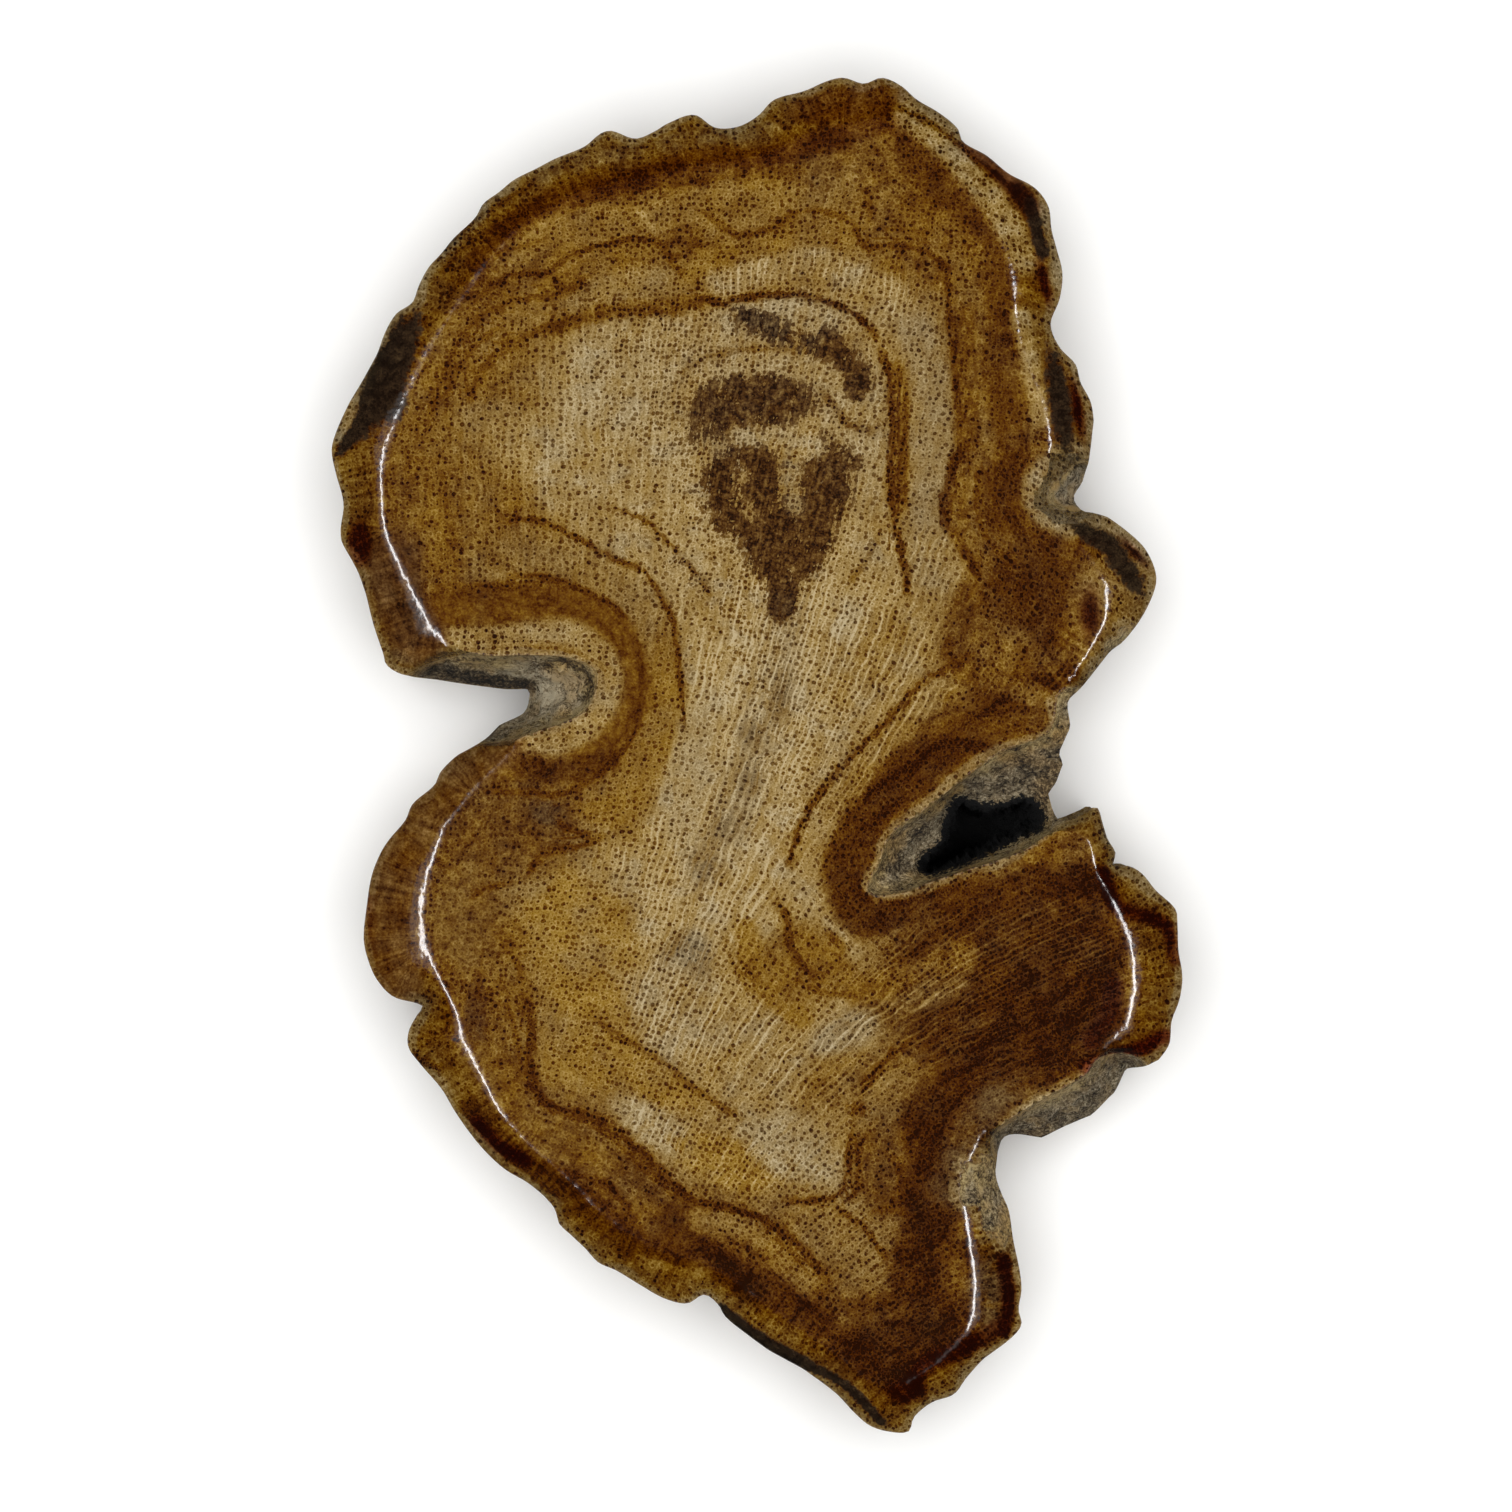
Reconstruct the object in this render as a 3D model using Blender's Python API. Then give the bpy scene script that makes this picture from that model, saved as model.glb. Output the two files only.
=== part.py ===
"""A polished slice of petrified wood, lying on its sawn back.

The slice is one stone. Its outline has two deep folds of the old trunk, one on the left and one
on the right, and the right one runs into a dark blind hollow. The upper face is ground flat and
rolls over to the bark along the open edges; in the folds it ends at a sharp, broken edge.

Units are metres and +Z is up. The origin lies under the middle of the outline, on the sawn back.
+Y points to the end with the heartwood, and +X to the side with the hollow.
"""

import math

import bmesh
import bpy
from mathutils import Vector

# Driving dimensions, in metres
SLICE_LENGTH = 0.115
THICKNESS = 0.018
ROLL_DROP = 0.0030
BROKEN_DROP = 0.0085
TONGUE_DROP = 0.0018
HOLLOW_MOUTH_DEPTH = 0.0055
HOLLOW_DEPTH = 0.0140
HOLLOW_CLEARANCE = 0.0020

# The outline is read in pixels of the reference view, whose rows count downwards.
OUTLINE_ROWS = 1356.0
METRES_PER_PIXEL = SLICE_LENGTH / OUTLINE_ROWS
ORIGIN_PIXEL = (757.0, 755.0)

# Shares of the thickness below the rim, and how far the bark draws in there
BARK_ROWS = ((0.0, 0.06), (0.22, 0.0), (0.55, 0.04), (0.82, 0.0))
ROLL_STEPS = 3
BLEND_STATIONS = 2
HOLLOW_TAPER = 0.88

# Each stretch of the outline runs clockwise in the reference view. It has the bark line, the line
# where the flat face ends, how far the rim lies below the face, and whether the edge is rolled.
STRETCHES = {
    "left flank": (
        [(386, 665), (383, 654), (373, 625), (365, 593), (357, 571), (341, 542), (340, 529),
         (343, 503), (335, 472), (331, 450), (335, 433), (348, 404), (361, 382), (377, 353),
         (385, 331), (396, 313), (412, 302), (418, 286), (428, 267), (440, 254)],
        [(452, 646), (428, 605), (406, 568), (391, 532), (385, 497), (387, 472), (396, 436),
         (412, 396), (430, 360), (447, 327), (478, 285)],
        ROLL_DROP, True,
    ),
    "crown": (
        [(453, 238), (475, 217), (483, 203), (498, 192), (514, 179), (536, 168), (555, 158),
         (584, 146), (600, 133), (611, 130), (635, 138), (654, 131), (667, 123), (694, 114),
         (715, 127), (738, 126), (758, 115), (774, 99), (805, 90), (828, 80), (844, 77),
         (864, 83), (882, 77)],
        [(485, 272), (520, 232), (575, 200), (640, 183), (700, 170), (770, 158), (830, 132),
         (880, 122)],
        ROLL_DROP, True,
    ),
    "right shoulder": (
        [(901, 85), (917, 99), (939, 112), (958, 128), (963, 141), (987, 155), (1009, 173),
         (1035, 187), (1049, 206), (1052, 229), (1057, 248), (1063, 273), (1060, 299)],
        [(893, 124), (930, 155), (965, 195), (990, 232), (1003, 262), (1010, 300)],
        ROLL_DROP, True,
    ),
    "right brow": (
        [(1051, 324), (1060, 347), (1076, 364), (1081, 382), (1091, 401), (1094, 420),
         (1090, 455)],
        [(1015, 330), (1024, 365), (1036, 400), (1045, 435), (1048, 455)],
        ROLL_DROP, True,
    ),
    "upper right fold": (
        [(1086, 478), (1076, 495)],
        [(1046, 474), (1032, 490), (1032, 503)],
        BROKEN_DROP, False,
    ),
    "right knob": (
        [(1085, 509), (1108, 517), (1130, 533), (1146, 549), (1156, 571), (1156, 587),
         (1143, 616), (1124, 641), (1111, 651), (1098, 667), (1083, 686)],
        [(1046, 517), (1072, 540), (1092, 572), (1101, 592), (1103, 617), (1092, 648),
         (1068, 684)],
        ROLL_DROP, True,
    ),
    "mouth of the hollow": (
        [(1068, 699), (1067, 708), (1070, 727), (1063, 743), (1059, 753), (1063, 764),
         (1057, 782), (1049, 794), (1054, 812), (1059, 821)],
        [(1056, 696), (1050, 740), (1040, 790), (1044, 832)],
        BROKEN_DROP, False,
    ),
    "tongue": (
        [(1083, 813), (1097, 807), (1103, 823), (1108, 839), (1116, 853), (1114, 865)],
        [(1068, 832), (1084, 832), (1090, 845), (1096, 870)],
        TONGUE_DROP, True,
    ),
    "right lobe": (
        [(1130, 866), (1143, 874), (1156, 890), (1176, 909), (1178, 923), (1179, 950),
         (1183, 977), (1180, 1000), (1172, 1022), (1170, 1044), (1159, 1060), (1143, 1068)],
        [(1106, 893), (1115, 920), (1124, 945), (1128, 970), (1127, 998), (1121, 1020),
         (1108, 1040)],
        ROLL_DROP, True,
    ),
    "lower right fold": (
        [(1129, 1072), (1118, 1095), (1095, 1118), (1067, 1130), (1044, 1141), (1019, 1137)],
        [(1096, 1056), (1080, 1078), (1051, 1092), (1019, 1111), (1000, 1124)],
        BROKEN_DROP, False,
    ),
    "heel": (
        [(1006, 1140), (998, 1156), (996, 1175), (1002, 1194), (1009, 1210), (1014, 1242),
         (1020, 1270), (1022, 1290), (1019, 1310), (1022, 1325)],
        [(984, 1132), (966, 1156), (957, 1188), (960, 1215), (966, 1250), (969, 1290),
         (966, 1318)],
        ROLL_DROP, True,
    ),
    "toe": (
        [(1011, 1339), (983, 1360), (967, 1378), (954, 1395), (932, 1403), (914, 1418),
         (909, 1432), (893, 1433), (871, 1427), (855, 1414)],
        [(962, 1330), (945, 1350), (925, 1365), (905, 1380), (889, 1384), (872, 1378)],
        ROLL_DROP, True,
    ),
    "sole": (
        [(836, 1394), (804, 1370), (769, 1351), (747, 1335), (725, 1317), (718, 1305),
         (704, 1295), (687, 1304), (664, 1299), (639, 1285), (616, 1271), (598, 1263),
         (585, 1249), (559, 1225), (553, 1207), (530, 1185), (505, 1170), (486, 1153),
         (470, 1134), (454, 1111), (441, 1089), (422, 1067), (408, 1048)],
        [(860, 1368), (830, 1345), (785, 1312), (740, 1280), (700, 1258), (655, 1243),
         (612, 1215), (575, 1180), (540, 1148), (505, 1110), (485, 1068), (470, 1035)],
        ROLL_DROP, True,
    ),
    "left lump": (
        [(408, 1032), (416, 1016), (422, 1006), (393, 997)],
        [(465, 1022), (460, 1010), (452, 995)],
        ROLL_DROP, True,
    ),
    "lower left lobe": (
        [(377, 981), (368, 962), (363, 939), (366, 907), (371, 876), (380, 853), (389, 839),
         (405, 820), (412, 804), (434, 785), (440, 772), (456, 756), (479, 743)],
        [(444, 978), (436, 947), (430, 918), (433, 890), (438, 860), (448, 828), (464, 806),
         (491, 774), (508, 756)],
        ROLL_DROP, True,
    ),
    "left fold, inner end": (
        [(498, 724), (520, 715), (525, 705), (528, 692)],
        [(518, 740), (549, 725), (571, 721), (587, 711), (597, 692), (598, 682)],
        BROKEN_DROP, False,
    ),
    "left fold, upper side": (
        [(523, 688), (498, 688), (459, 683), (428, 678), (402, 675)],
        [(594, 668), (565, 656), (523, 655), (491, 656), (462, 650)],
        BROKEN_DROP, False,
    ),
}

# The hollow, as pairs of pixels: its edge in the upper face, and its throat below that.
# The first two pairs and the last two lie outside the outline, where it opens sideways.
HOLLOW_PAIRS = (
    ((1200, 735), (1044, 818)), ((1200, 655), (1040, 808)), ((1066, 700), (1034, 801)),
    ((1044, 734), (1026, 799)), ((1003, 750), (1006, 804)), ((971, 772), (987, 807)),
    ((923, 810), (958, 799)), ((891, 833), (950, 810)), ((879, 861), (942, 842)),
    ((867, 892), (920, 864)), ((904, 892), (926, 874)), ((923, 884), (949, 868)),
    ((971, 868), (981, 855)), ((1019, 852), (1019, 837)), ((1051, 833), (1038, 829)),
    ((1071, 818), (1042, 824)),
)

STONE_COLOUR = (0.240, 0.125, 0.045, 1.0)
STONE_ROUGHNESS = 0.22


def place(pixel, height):
    """The point in metres that lies over a pixel of the reference view, at a height."""
    across, down = pixel
    return Vector((
        (across - ORIGIN_PIXEL[0]) * METRES_PER_PIXEL,
        (ORIGIN_PIXEL[1] - down) * METRES_PER_PIXEL,
        height,
    ))


def lengths_along(points):
    """The distance from the first point to each point, along the line through them."""
    total = [0.0]
    for before, after in zip(points, points[1:]):
        total.append(total[-1] + math.dist(before, after))
    return total


def point_at(points, share):
    """The point that lies at a share of the line's whole length."""
    along = lengths_along(points)
    wanted = share * along[-1]
    for index in range(1, len(points)):
        if wanted <= along[index] or index == len(points) - 1:
            step = along[index] - along[index - 1]
            part = min(1.0, (wanted - along[index - 1]) / step)
            before, after = points[index - 1], points[index]
            return tuple(a + (b - a) * part for a, b in zip(before, after))
    return points[-1]


def stations():
    """Bark point, face-edge point, drop and roundness at every point of the outline."""
    found = []
    for bark, shoulder, drop, rolled in STRETCHES.values():
        along = lengths_along(bark)
        for pixel, distance in zip(bark, along):
            partner = point_at(shoulder, distance / along[-1])
            found.append((pixel, partner, drop, 1.0 if rolled else 0.0))
    return found


def blended(values):
    """The values averaged with their neighbours round the outline."""
    count = len(values)
    reach = range(-BLEND_STATIONS, BLEND_STATIONS + 1)
    return [
        sum(values[(index + step) % count] for step in reach) / len(reach)
        for index in range(count)
    ]


def slice_sections():
    """Loops of points from the sawn back up over the rim to the edge of the flat face."""
    found = stations()
    drops = blended([station[2] for station in found])
    roundness = blended([station[3] for station in found])
    sections = []
    for share, inset in BARK_ROWS:
        loop = []
        for (bark, shoulder, _, _), drop in zip(found, drops):
            height = share * (THICKNESS - drop)
            loop.append(place(bark, height).lerp(place(shoulder, height), inset))
        sections.append(loop)
    for step in range(ROLL_STEPS + 1):
        angle = step / ROLL_STEPS * math.pi / 2
        loop = []
        for (bark, shoulder, _, _), drop, rolled in zip(found, drops, roundness):
            across = rolled * (1 - math.cos(angle)) + (1 - rolled) * step / ROLL_STEPS
            up = rolled * math.sin(angle) + (1 - rolled) * step / ROLL_STEPS
            flat = place(bark, 0.0).lerp(place(shoulder, 0.0), across)
            flat.z = THICKNESS - drop * (1 - up)
            loop.append(flat)
        sections.append(loop)
    return sections


def hollow_sections():
    """Loops of points from the floor of the hollow up through its throat to the face."""
    throat = [place(low, THICKNESS - HOLLOW_MOUTH_DEPTH) for _, low in HOLLOW_PAIRS]
    middle = sum(throat, Vector()) / len(throat)
    floor = []
    for point in throat:
        eased = middle.lerp(point, HOLLOW_TAPER)
        eased.z = THICKNESS - HOLLOW_DEPTH
        floor.append(eased)
    edge = [place(high, THICKNESS) for high, _ in HOLLOW_PAIRS]
    above = [place(high, THICKNESS + HOLLOW_CLEARANCE) for high, _ in HOLLOW_PAIRS]
    return [floor, throat, edge, above]


def loft(name, sections):
    """A closed mesh through loops of equally many points, from the lowest to the highest."""
    shape = bmesh.new()
    loops = [[shape.verts.new(point) for point in section] for section in sections]
    count = len(loops[0])
    for low, high in zip(loops, loops[1:]):
        for index in range(count):
            after = (index + 1) % count
            shape.faces.new((low[index], low[after], high[after], high[index]))
    shape.faces.new(loops[0])
    shape.faces.new(loops[-1])
    bmesh.ops.recalc_face_normals(shape, faces=shape.faces)
    mesh = bpy.data.meshes.new(name)
    shape.to_mesh(mesh)
    shape.free()
    return bpy.data.objects.new(name, mesh)


def stone_material():
    """Polished brown stone."""
    material = bpy.data.materials.new("polished petrified wood")
    material.use_nodes = True
    shader = material.node_tree.nodes["Principled BSDF"]
    shader.inputs["Base Color"].default_value = STONE_COLOUR
    shader.inputs["Roughness"].default_value = STONE_ROUGHNESS
    shader.inputs["Metallic"].default_value = 0.0
    return material


def clear_scene():
    """Removes whatever the scene holds."""
    for obj in list(bpy.data.objects):
        bpy.data.objects.remove(obj, do_unlink=True)


def collection_named(name):
    """A new collection in the scene."""
    collection = bpy.data.collections.new(name)
    bpy.context.scene.collection.children.link(collection)
    return collection


def main():
    clear_scene()
    parts = collection_named("petrified wood slice")
    cutters = collection_named("cutters")

    stone = loft("petrified_wood_slice", slice_sections())
    stone.data.materials.append(stone_material())
    parts.objects.link(stone)

    hollow = loft("hollow_cutter", hollow_sections())
    hollow.hide_render = True
    hollow.display_type = "WIRE"
    cutters.objects.link(hollow)

    cut = stone.modifiers.new("hollow", "BOOLEAN")
    cut.operation = "DIFFERENCE"
    cut.solver = "EXACT"
    cut.object = hollow


main()
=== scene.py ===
"""A polished slice of petrified wood, finished over its fixed solid.

The slice is one closed stone. Its outline, the edge of its flat face and the throat of its hollow
are read from the fixed solid as level cuts. A finer skin is built through those three lines: a flat
polished face, an edge that rolls over to the bark, rough broken aprons in the folds, a blind hollow
painted black as shade, bark sides and a sawn back. Stains, growth lines and grain directions are worked
out at each point of the skin, and the finishes turn them into pores, rays, rings and mineral colours,
with painted shade in the hollow and in the rind's pits and cracks, and painted sheen on parts of the
rolled edge.

Lengths are in millimetres until the mesh is written, which is in metres. Pixels are those of the
reference view, 1512 by 1512, with rows that count downwards.
"""

import logging
import math
from dataclasses import dataclass, field, fields
from enum import Enum

import bmesh
import bpy
import numpy as np
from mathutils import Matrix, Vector, kdtree, noise


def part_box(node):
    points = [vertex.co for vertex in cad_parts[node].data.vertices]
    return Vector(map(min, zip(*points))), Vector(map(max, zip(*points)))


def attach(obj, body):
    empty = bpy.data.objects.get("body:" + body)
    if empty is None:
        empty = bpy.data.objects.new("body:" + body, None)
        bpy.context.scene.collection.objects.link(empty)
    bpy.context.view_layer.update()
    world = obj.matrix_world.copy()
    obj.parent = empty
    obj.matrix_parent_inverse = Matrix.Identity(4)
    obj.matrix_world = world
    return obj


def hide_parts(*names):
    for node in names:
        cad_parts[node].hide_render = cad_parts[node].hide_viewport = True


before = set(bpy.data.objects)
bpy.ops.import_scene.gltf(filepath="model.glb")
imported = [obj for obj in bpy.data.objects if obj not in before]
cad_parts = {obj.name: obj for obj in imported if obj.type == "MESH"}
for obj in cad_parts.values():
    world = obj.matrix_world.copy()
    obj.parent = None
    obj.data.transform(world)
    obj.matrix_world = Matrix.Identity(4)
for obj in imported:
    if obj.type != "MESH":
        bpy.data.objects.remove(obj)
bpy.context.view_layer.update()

log = logging.getLogger("slice")

NODE = "petrified_wood_slice"
MM = 0.001
TINY = 1e-6
SLICE_LENGTH = 115.0
OUTLINE_ROWS = 1356.0
VIEW_PIXELS = 1512.0
ORIGIN_PIXEL = (757.0, 755.0)

Pixel = tuple[float, float]
Socket = bpy.types.NodeSocket


@dataclass(frozen=True)
class ViewGrid:
    """The reference view's pixels laid over the stone."""

    mm_per_pixel: float

    def to_mm(self, pixels: np.ndarray) -> np.ndarray:
        """Places in millimetres for pixels.

        Args:
            pixels: Rows of across and down.

        Returns:
            Rows of x and y in millimetres.
        """
        pixels = np.asarray(pixels, float)
        shifted = pixels - np.array(ORIGIN_PIXEL)
        return shifted * np.array((1.0, -1.0)) * self.mm_per_pixel

    def to_pixels(self, places: np.ndarray) -> np.ndarray:
        """Pixels for places in millimetres.

        Args:
            places: Rows of x and y.

        Returns:
            Rows of across and down.
        """
        return places * np.array((1.0, -1.0)) / self.mm_per_pixel + np.array(ORIGIN_PIXEL)


def soft_step(value: np.ndarray, low: float, high: float) -> np.ndarray:
    """A smooth rise from 0 at low to 1 at high; high below low makes it a fall.

    Args:
        value: The values to shape.
        low: Where the result is 0.
        high: Where the result is 1.

    Returns:
        The shaped values, from 0 to 1.
    """
    share = np.clip((value - low) / (high - low), 0.0, 1.0)
    return share * share * (3.0 - 2.0 * share)


def curve_through(points: np.ndarray, spacing: float, closed: bool) -> np.ndarray:
    """A smooth curve through points, read at an even spacing.

    Args:
        points: Rows of x and y.
        spacing: The wanted distance between the points read.
        closed: Whether the curve joins its own start.

    Returns:
        Rows of x and y along the curve.
    """
    if closed:
        points = np.vstack([points[-1:], points, points[:2]])
    else:
        points = np.vstack([2 * points[0] - points[1], points, 2 * points[-1] - points[-2]])
    steps = np.linalg.norm(np.diff(points, axis=0), axis=1)
    share = np.linspace(0.0, 1.0, 9)[:-1, None]
    pieces = []
    for index in range(1, len(points) - 2):
        before, start, end, after = points[index - 1:index + 3]
        reach = steps[index]
        leave = (end - before) / (steps[index - 1] + reach) * reach
        arrive = (after - start) / (reach + steps[index + 1]) * reach
        pieces.append(
            (2 * share**3 - 3 * share**2 + 1) * start
            + (share**3 - 2 * share**2 + share) * leave
            + (3 * share**2 - 2 * share**3) * end
            + (share**3 - share**2) * arrive
        )
    dense = np.vstack(pieces + [points[-2:-1]])
    along = np.concatenate([[0.0], np.cumsum(np.linalg.norm(np.diff(dense, axis=0), axis=1))])
    count = max(2, round(along[-1] / spacing))
    wanted = np.linspace(0.0, along[-1], count + 1)
    if closed:
        wanted = wanted[:-1]
    return np.column_stack([np.interp(wanted, along, dense[:, side]) for side in (0, 1)])


class Trace:
    """A finely sampled line that can say how far places lie from it."""

    rows_at_once = 4000

    def __init__(self, points: np.ndarray, closed: bool) -> None:
        """Keeps the samples and builds their search tree."""
        self.points = points
        self.closed = closed
        self.tree = kdtree.KDTree(len(points))
        for index, (x, y) in enumerate(points):
            self.tree.insert((x, y, 0.0), index)
        self.tree.balance()

    def nearest(self, places: np.ndarray) -> np.ndarray:
        """The index of the sample closest to each place.

        Args:
            places: Rows of x and y.

        Returns:
            One index a place.
        """
        return np.array([self.tree.find((x, y, 0.0))[1] for x, y in places], int)

    def feet(self, places: np.ndarray) -> np.ndarray:
        """The point of the line closest to each place.

        Args:
            places: Rows of x and y.

        Returns:
            Rows of x and y on the line.
        """
        found = self.nearest(places)
        count = len(self.points)
        feet = []
        for step in (-1, 1):
            other = (found + step) % count if self.closed else np.clip(found + step, 0, count - 1)
            start = self.points[found]
            along = self.points[other] - start
            length = np.maximum((along**2).sum(1), 1e-12)
            share = np.clip(((places - start) * along).sum(1) / length, 0.0, 1.0)
            feet.append(start + share[:, None] * along)
        gaps = [np.linalg.norm(places - foot, axis=1) for foot in feet]
        return np.where((gaps[0] < gaps[1])[:, None], *feet)

    def station(self, places: np.ndarray) -> np.ndarray:
        """How far along the line its closest point to each place lies.

        Args:
            places: Rows of x and y.

        Returns:
            One number a place, counted in points of the line.
        """
        feet = self.feet(places)
        found = self.nearest(feet)
        count = len(self.points)
        best = found.astype(float)
        gaps = np.full(len(places), np.inf)
        for step in (-1, 1):
            other = (found + step) % count
            along = self.points[other] - self.points[found]
            share = ((feet - self.points[found]) * along).sum(1) / np.maximum((along**2).sum(1), 1e-12)
            gap = np.abs(share - np.clip(share, 0.0, 1.0))
            best = np.where(gap < gaps, found + step * np.clip(share, 0.0, 1.0), best)
            gaps = np.minimum(gap, gaps)
        return best % count

    def distance(self, places: np.ndarray) -> np.ndarray:
        """How far each place lies from the line."""
        return np.linalg.norm(places - self.feet(places), axis=1)

    def holds(self, places: np.ndarray) -> np.ndarray:
        """Whether each place lies inside the closed line.

        Args:
            places: Rows of x and y.

        Returns:
            One truth value a place.
        """
        start = self.points
        end = np.roll(self.points, -1, axis=0)
        rise = np.where(end[:, 1] == start[:, 1], 1e-12, end[:, 1] - start[:, 1])
        slope = (end[:, 0] - start[:, 0]) / rise
        inside = np.zeros(len(places), bool)
        for first in range(0, len(places), self.rows_at_once):
            rows = slice(first, first + self.rows_at_once)
            x, y = places[rows, :1], places[rows, 1:]
            spans = (start[:, 1] > y) != (end[:, 1] > y)
            left = x < start[:, 0] + (y - start[:, 1]) * slope
            inside[rows] = (spans & left).sum(1) % 2 == 1
        return inside

    def signed(self, places: np.ndarray) -> np.ndarray:
        """Distance from the closed line, negative inside it.

        Args:
            places: Rows of x and y.

        Returns:
            One signed distance a place.
        """
        return np.where(self.holds(places), -1.0, 1.0) * self.distance(places)

    def outward(self) -> np.ndarray:
        """Unit normals that point out of an anticlockwise closed line."""
        along = np.roll(self.points, -2, axis=0) - np.roll(self.points, 2, axis=0)
        normal = np.column_stack([along[:, 1], -along[:, 0]])
        return normal / np.linalg.norm(normal, axis=1, keepdims=True)


def level_cuts(solid: bpy.types.Object, height: float) -> list[np.ndarray]:
    """The closed lines in which a level plane cuts a fixed solid.

    Args:
        solid: The fixed solid's object.
        height: The plane's height in millimetres.

    Returns:
        Each line as anticlockwise rows of x and y in millimetres, the longest first.
    """
    shape = bmesh.new()
    shape.from_mesh(solid.data)
    bmesh.ops.remove_doubles(shape, verts=shape.verts, dist=TINY)
    cut = bmesh.ops.bisect_plane(
        shape,
        geom=[*shape.verts, *shape.edges, *shape.faces],
        dist=1e-8,
        plane_co=(0.0, 0.0, height * MM),
        plane_no=(0.0, 0.0, 1.0),
    )
    left = dict.fromkeys(item for item in cut["geom_cut"] if isinstance(item, bmesh.types.BMEdge))
    lines = []
    while left:
        edge = next(iter(left))
        left.pop(edge)
        first, corner = edge.verts
        line = [first]
        while corner is not first:
            line.append(corner)
            edge = next((e for e in corner.link_edges if e in left), None)
            if edge is None:
                break
            left.pop(edge)
            corner = edge.other_vert(corner)
        points = np.array([(v.co.x, v.co.y) for v in line]) / MM
        x, y = points.T
        turn = (x * np.roll(y, -1) - y * np.roll(x, -1)).sum()
        points = points if turn > 0 else points[::-1]
        lines.append(np.roll(points, -int(points[:, 1].argmin()), axis=0))
    shape.free()
    return sorted(lines, key=len, reverse=True)


@dataclass(frozen=True)
class Oval:
    """A soft oval in the reference view."""

    centre: Pixel
    radii: Pixel
    turn: float = 0.0
    soft: float = 0.3

    def cover(self, pixels: np.ndarray) -> np.ndarray:
        """How much of the oval covers each pixel.

        Args:
            pixels: Rows of across and down.

        Returns:
            From 0 outside to 1 well inside.
        """
        gap = pixels - np.array(self.centre)
        angle = math.radians(self.turn)
        along = gap[:, 0] * math.cos(angle) - gap[:, 1] * math.sin(angle)
        across = gap[:, 0] * math.sin(angle) + gap[:, 1] * math.cos(angle)
        reach = np.hypot(along / self.radii[0], across / self.radii[1])
        return soft_step(reach, 1.0 + self.soft, 1.0 - self.soft)


@dataclass(frozen=True)
class Ribbon:
    """A soft band along a line in the reference view."""

    line: tuple[Pixel, ...]
    half_width: float
    soft: float = 0.4
    step = 3.0

    def cover(self, pixels: np.ndarray) -> np.ndarray:
        """How much of the band covers each pixel.

        Args:
            pixels: Rows of across and down.

        Returns:
            From 0 outside to 1 well inside.
        """
        line = curve_through(np.array(self.line, float), self.step, closed=False)
        margin = self.half_width * (1.0 + self.soft) + self.step
        near = ((pixels > line.min(axis=0) - margin) & (pixels < line.max(axis=0) + margin)).all(axis=1)
        cover = np.zeros(len(pixels))
        if near.any():
            reach = Trace(line, closed=False).distance(pixels[near]) / self.half_width
            cover[near] = soft_step(reach, 1.0 + self.soft, 1.0 - self.soft)
        return cover


@dataclass(frozen=True)
class Stain:
    """A place on the face whose marks are pulled towards given levels; None leaves a mark alone."""

    area: Oval | Ribbon
    tone: float | None = None
    gold: float | None = None
    grey: float | None = None
    pores: float | None = None
    threads: float | None = None
    red: float | None = None
    heart: float | None = None
    agate: float | None = None
    rind: float | None = None


@dataclass(frozen=True)
class GrowthLine:
    """A dark line along a growth ring, or a pale scratch where its ink is below 0."""

    line: tuple[Pixel, ...]
    width: float = 1.0
    ink: float = 1.0


@dataclass(frozen=True)
class StoneSizes:
    """Sizes of the stone that the level cuts don't give, in millimetres, and how it is cut up."""

    roll_drop: float = 3.0
    broken_drop: float = 8.5
    mouth_depth: float = 5.5
    hollow_depth: float = 14.0
    face_cell: float = 0.40
    back_cell: float = 1.15
    edge_step: float = 0.46
    bark_row: float = 0.52
    bark_relief: float = 0.75
    apron_relief: float = 0.46
    longest_edge: float = 0.75
    halvings: int = 4
    bark_level: float = 3.0
    face_cut: float = 0.02
    throat_cut: float = 1.0
    sharp_angle: float = 34.0


# What is kept at each point of the skin, up to three numbers to a set
MARK_SETS = {
    "growth": ("Ring", "Side", "Ink"),
    "stain": ("Tone", "Gold", "Grey"),
    "wood": ("Pores", "Threads", "Red"),
    "spots": ("Heart", "Agate", "Station"),
    "grain": ("Across", "Along", "Fan"),
    "crust": ("Crust", "Rind", "Throat"),
    "fold": ("Pull", "Broken"),
}

# Where the edge of the face is broken instead of rolled
FOLDS = (
    Oval((520, 693), (108, 50), soft=0.12),
    Oval((1060, 489), (38, 33), soft=0.15),
    Oval((1066, 1106), (84, 40), turn=30, soft=0.12),
)
HOLLOW_ZONE = Oval((970, 795), (150, 88), turn=44, soft=0.05)
LIP = Ribbon(((1070, 452), (1048, 470), (1036, 492), (1042, 510), (1064, 522), (1092, 522)), 12, soft=0.6)
CHIPS = (
    Oval((984, 1182), (24, 24), soft=0.7),
    Oval((1000, 1208), (20, 32), soft=0.7),
    Ribbon(((1128, 640), (1110, 668), (1092, 698), (1076, 726)), 15, soft=0.7),
)

# How light the wood is at distances from the bark, in pixels
RING_DISTANCES = (0, 6, 14, 30, 60, 95, 125, 160, 200, 250)
RING_TONES = (0.58, 0.50, 0.43, 0.37, 0.40, 0.47, 0.56, 0.64, 0.69, 0.71)

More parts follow.
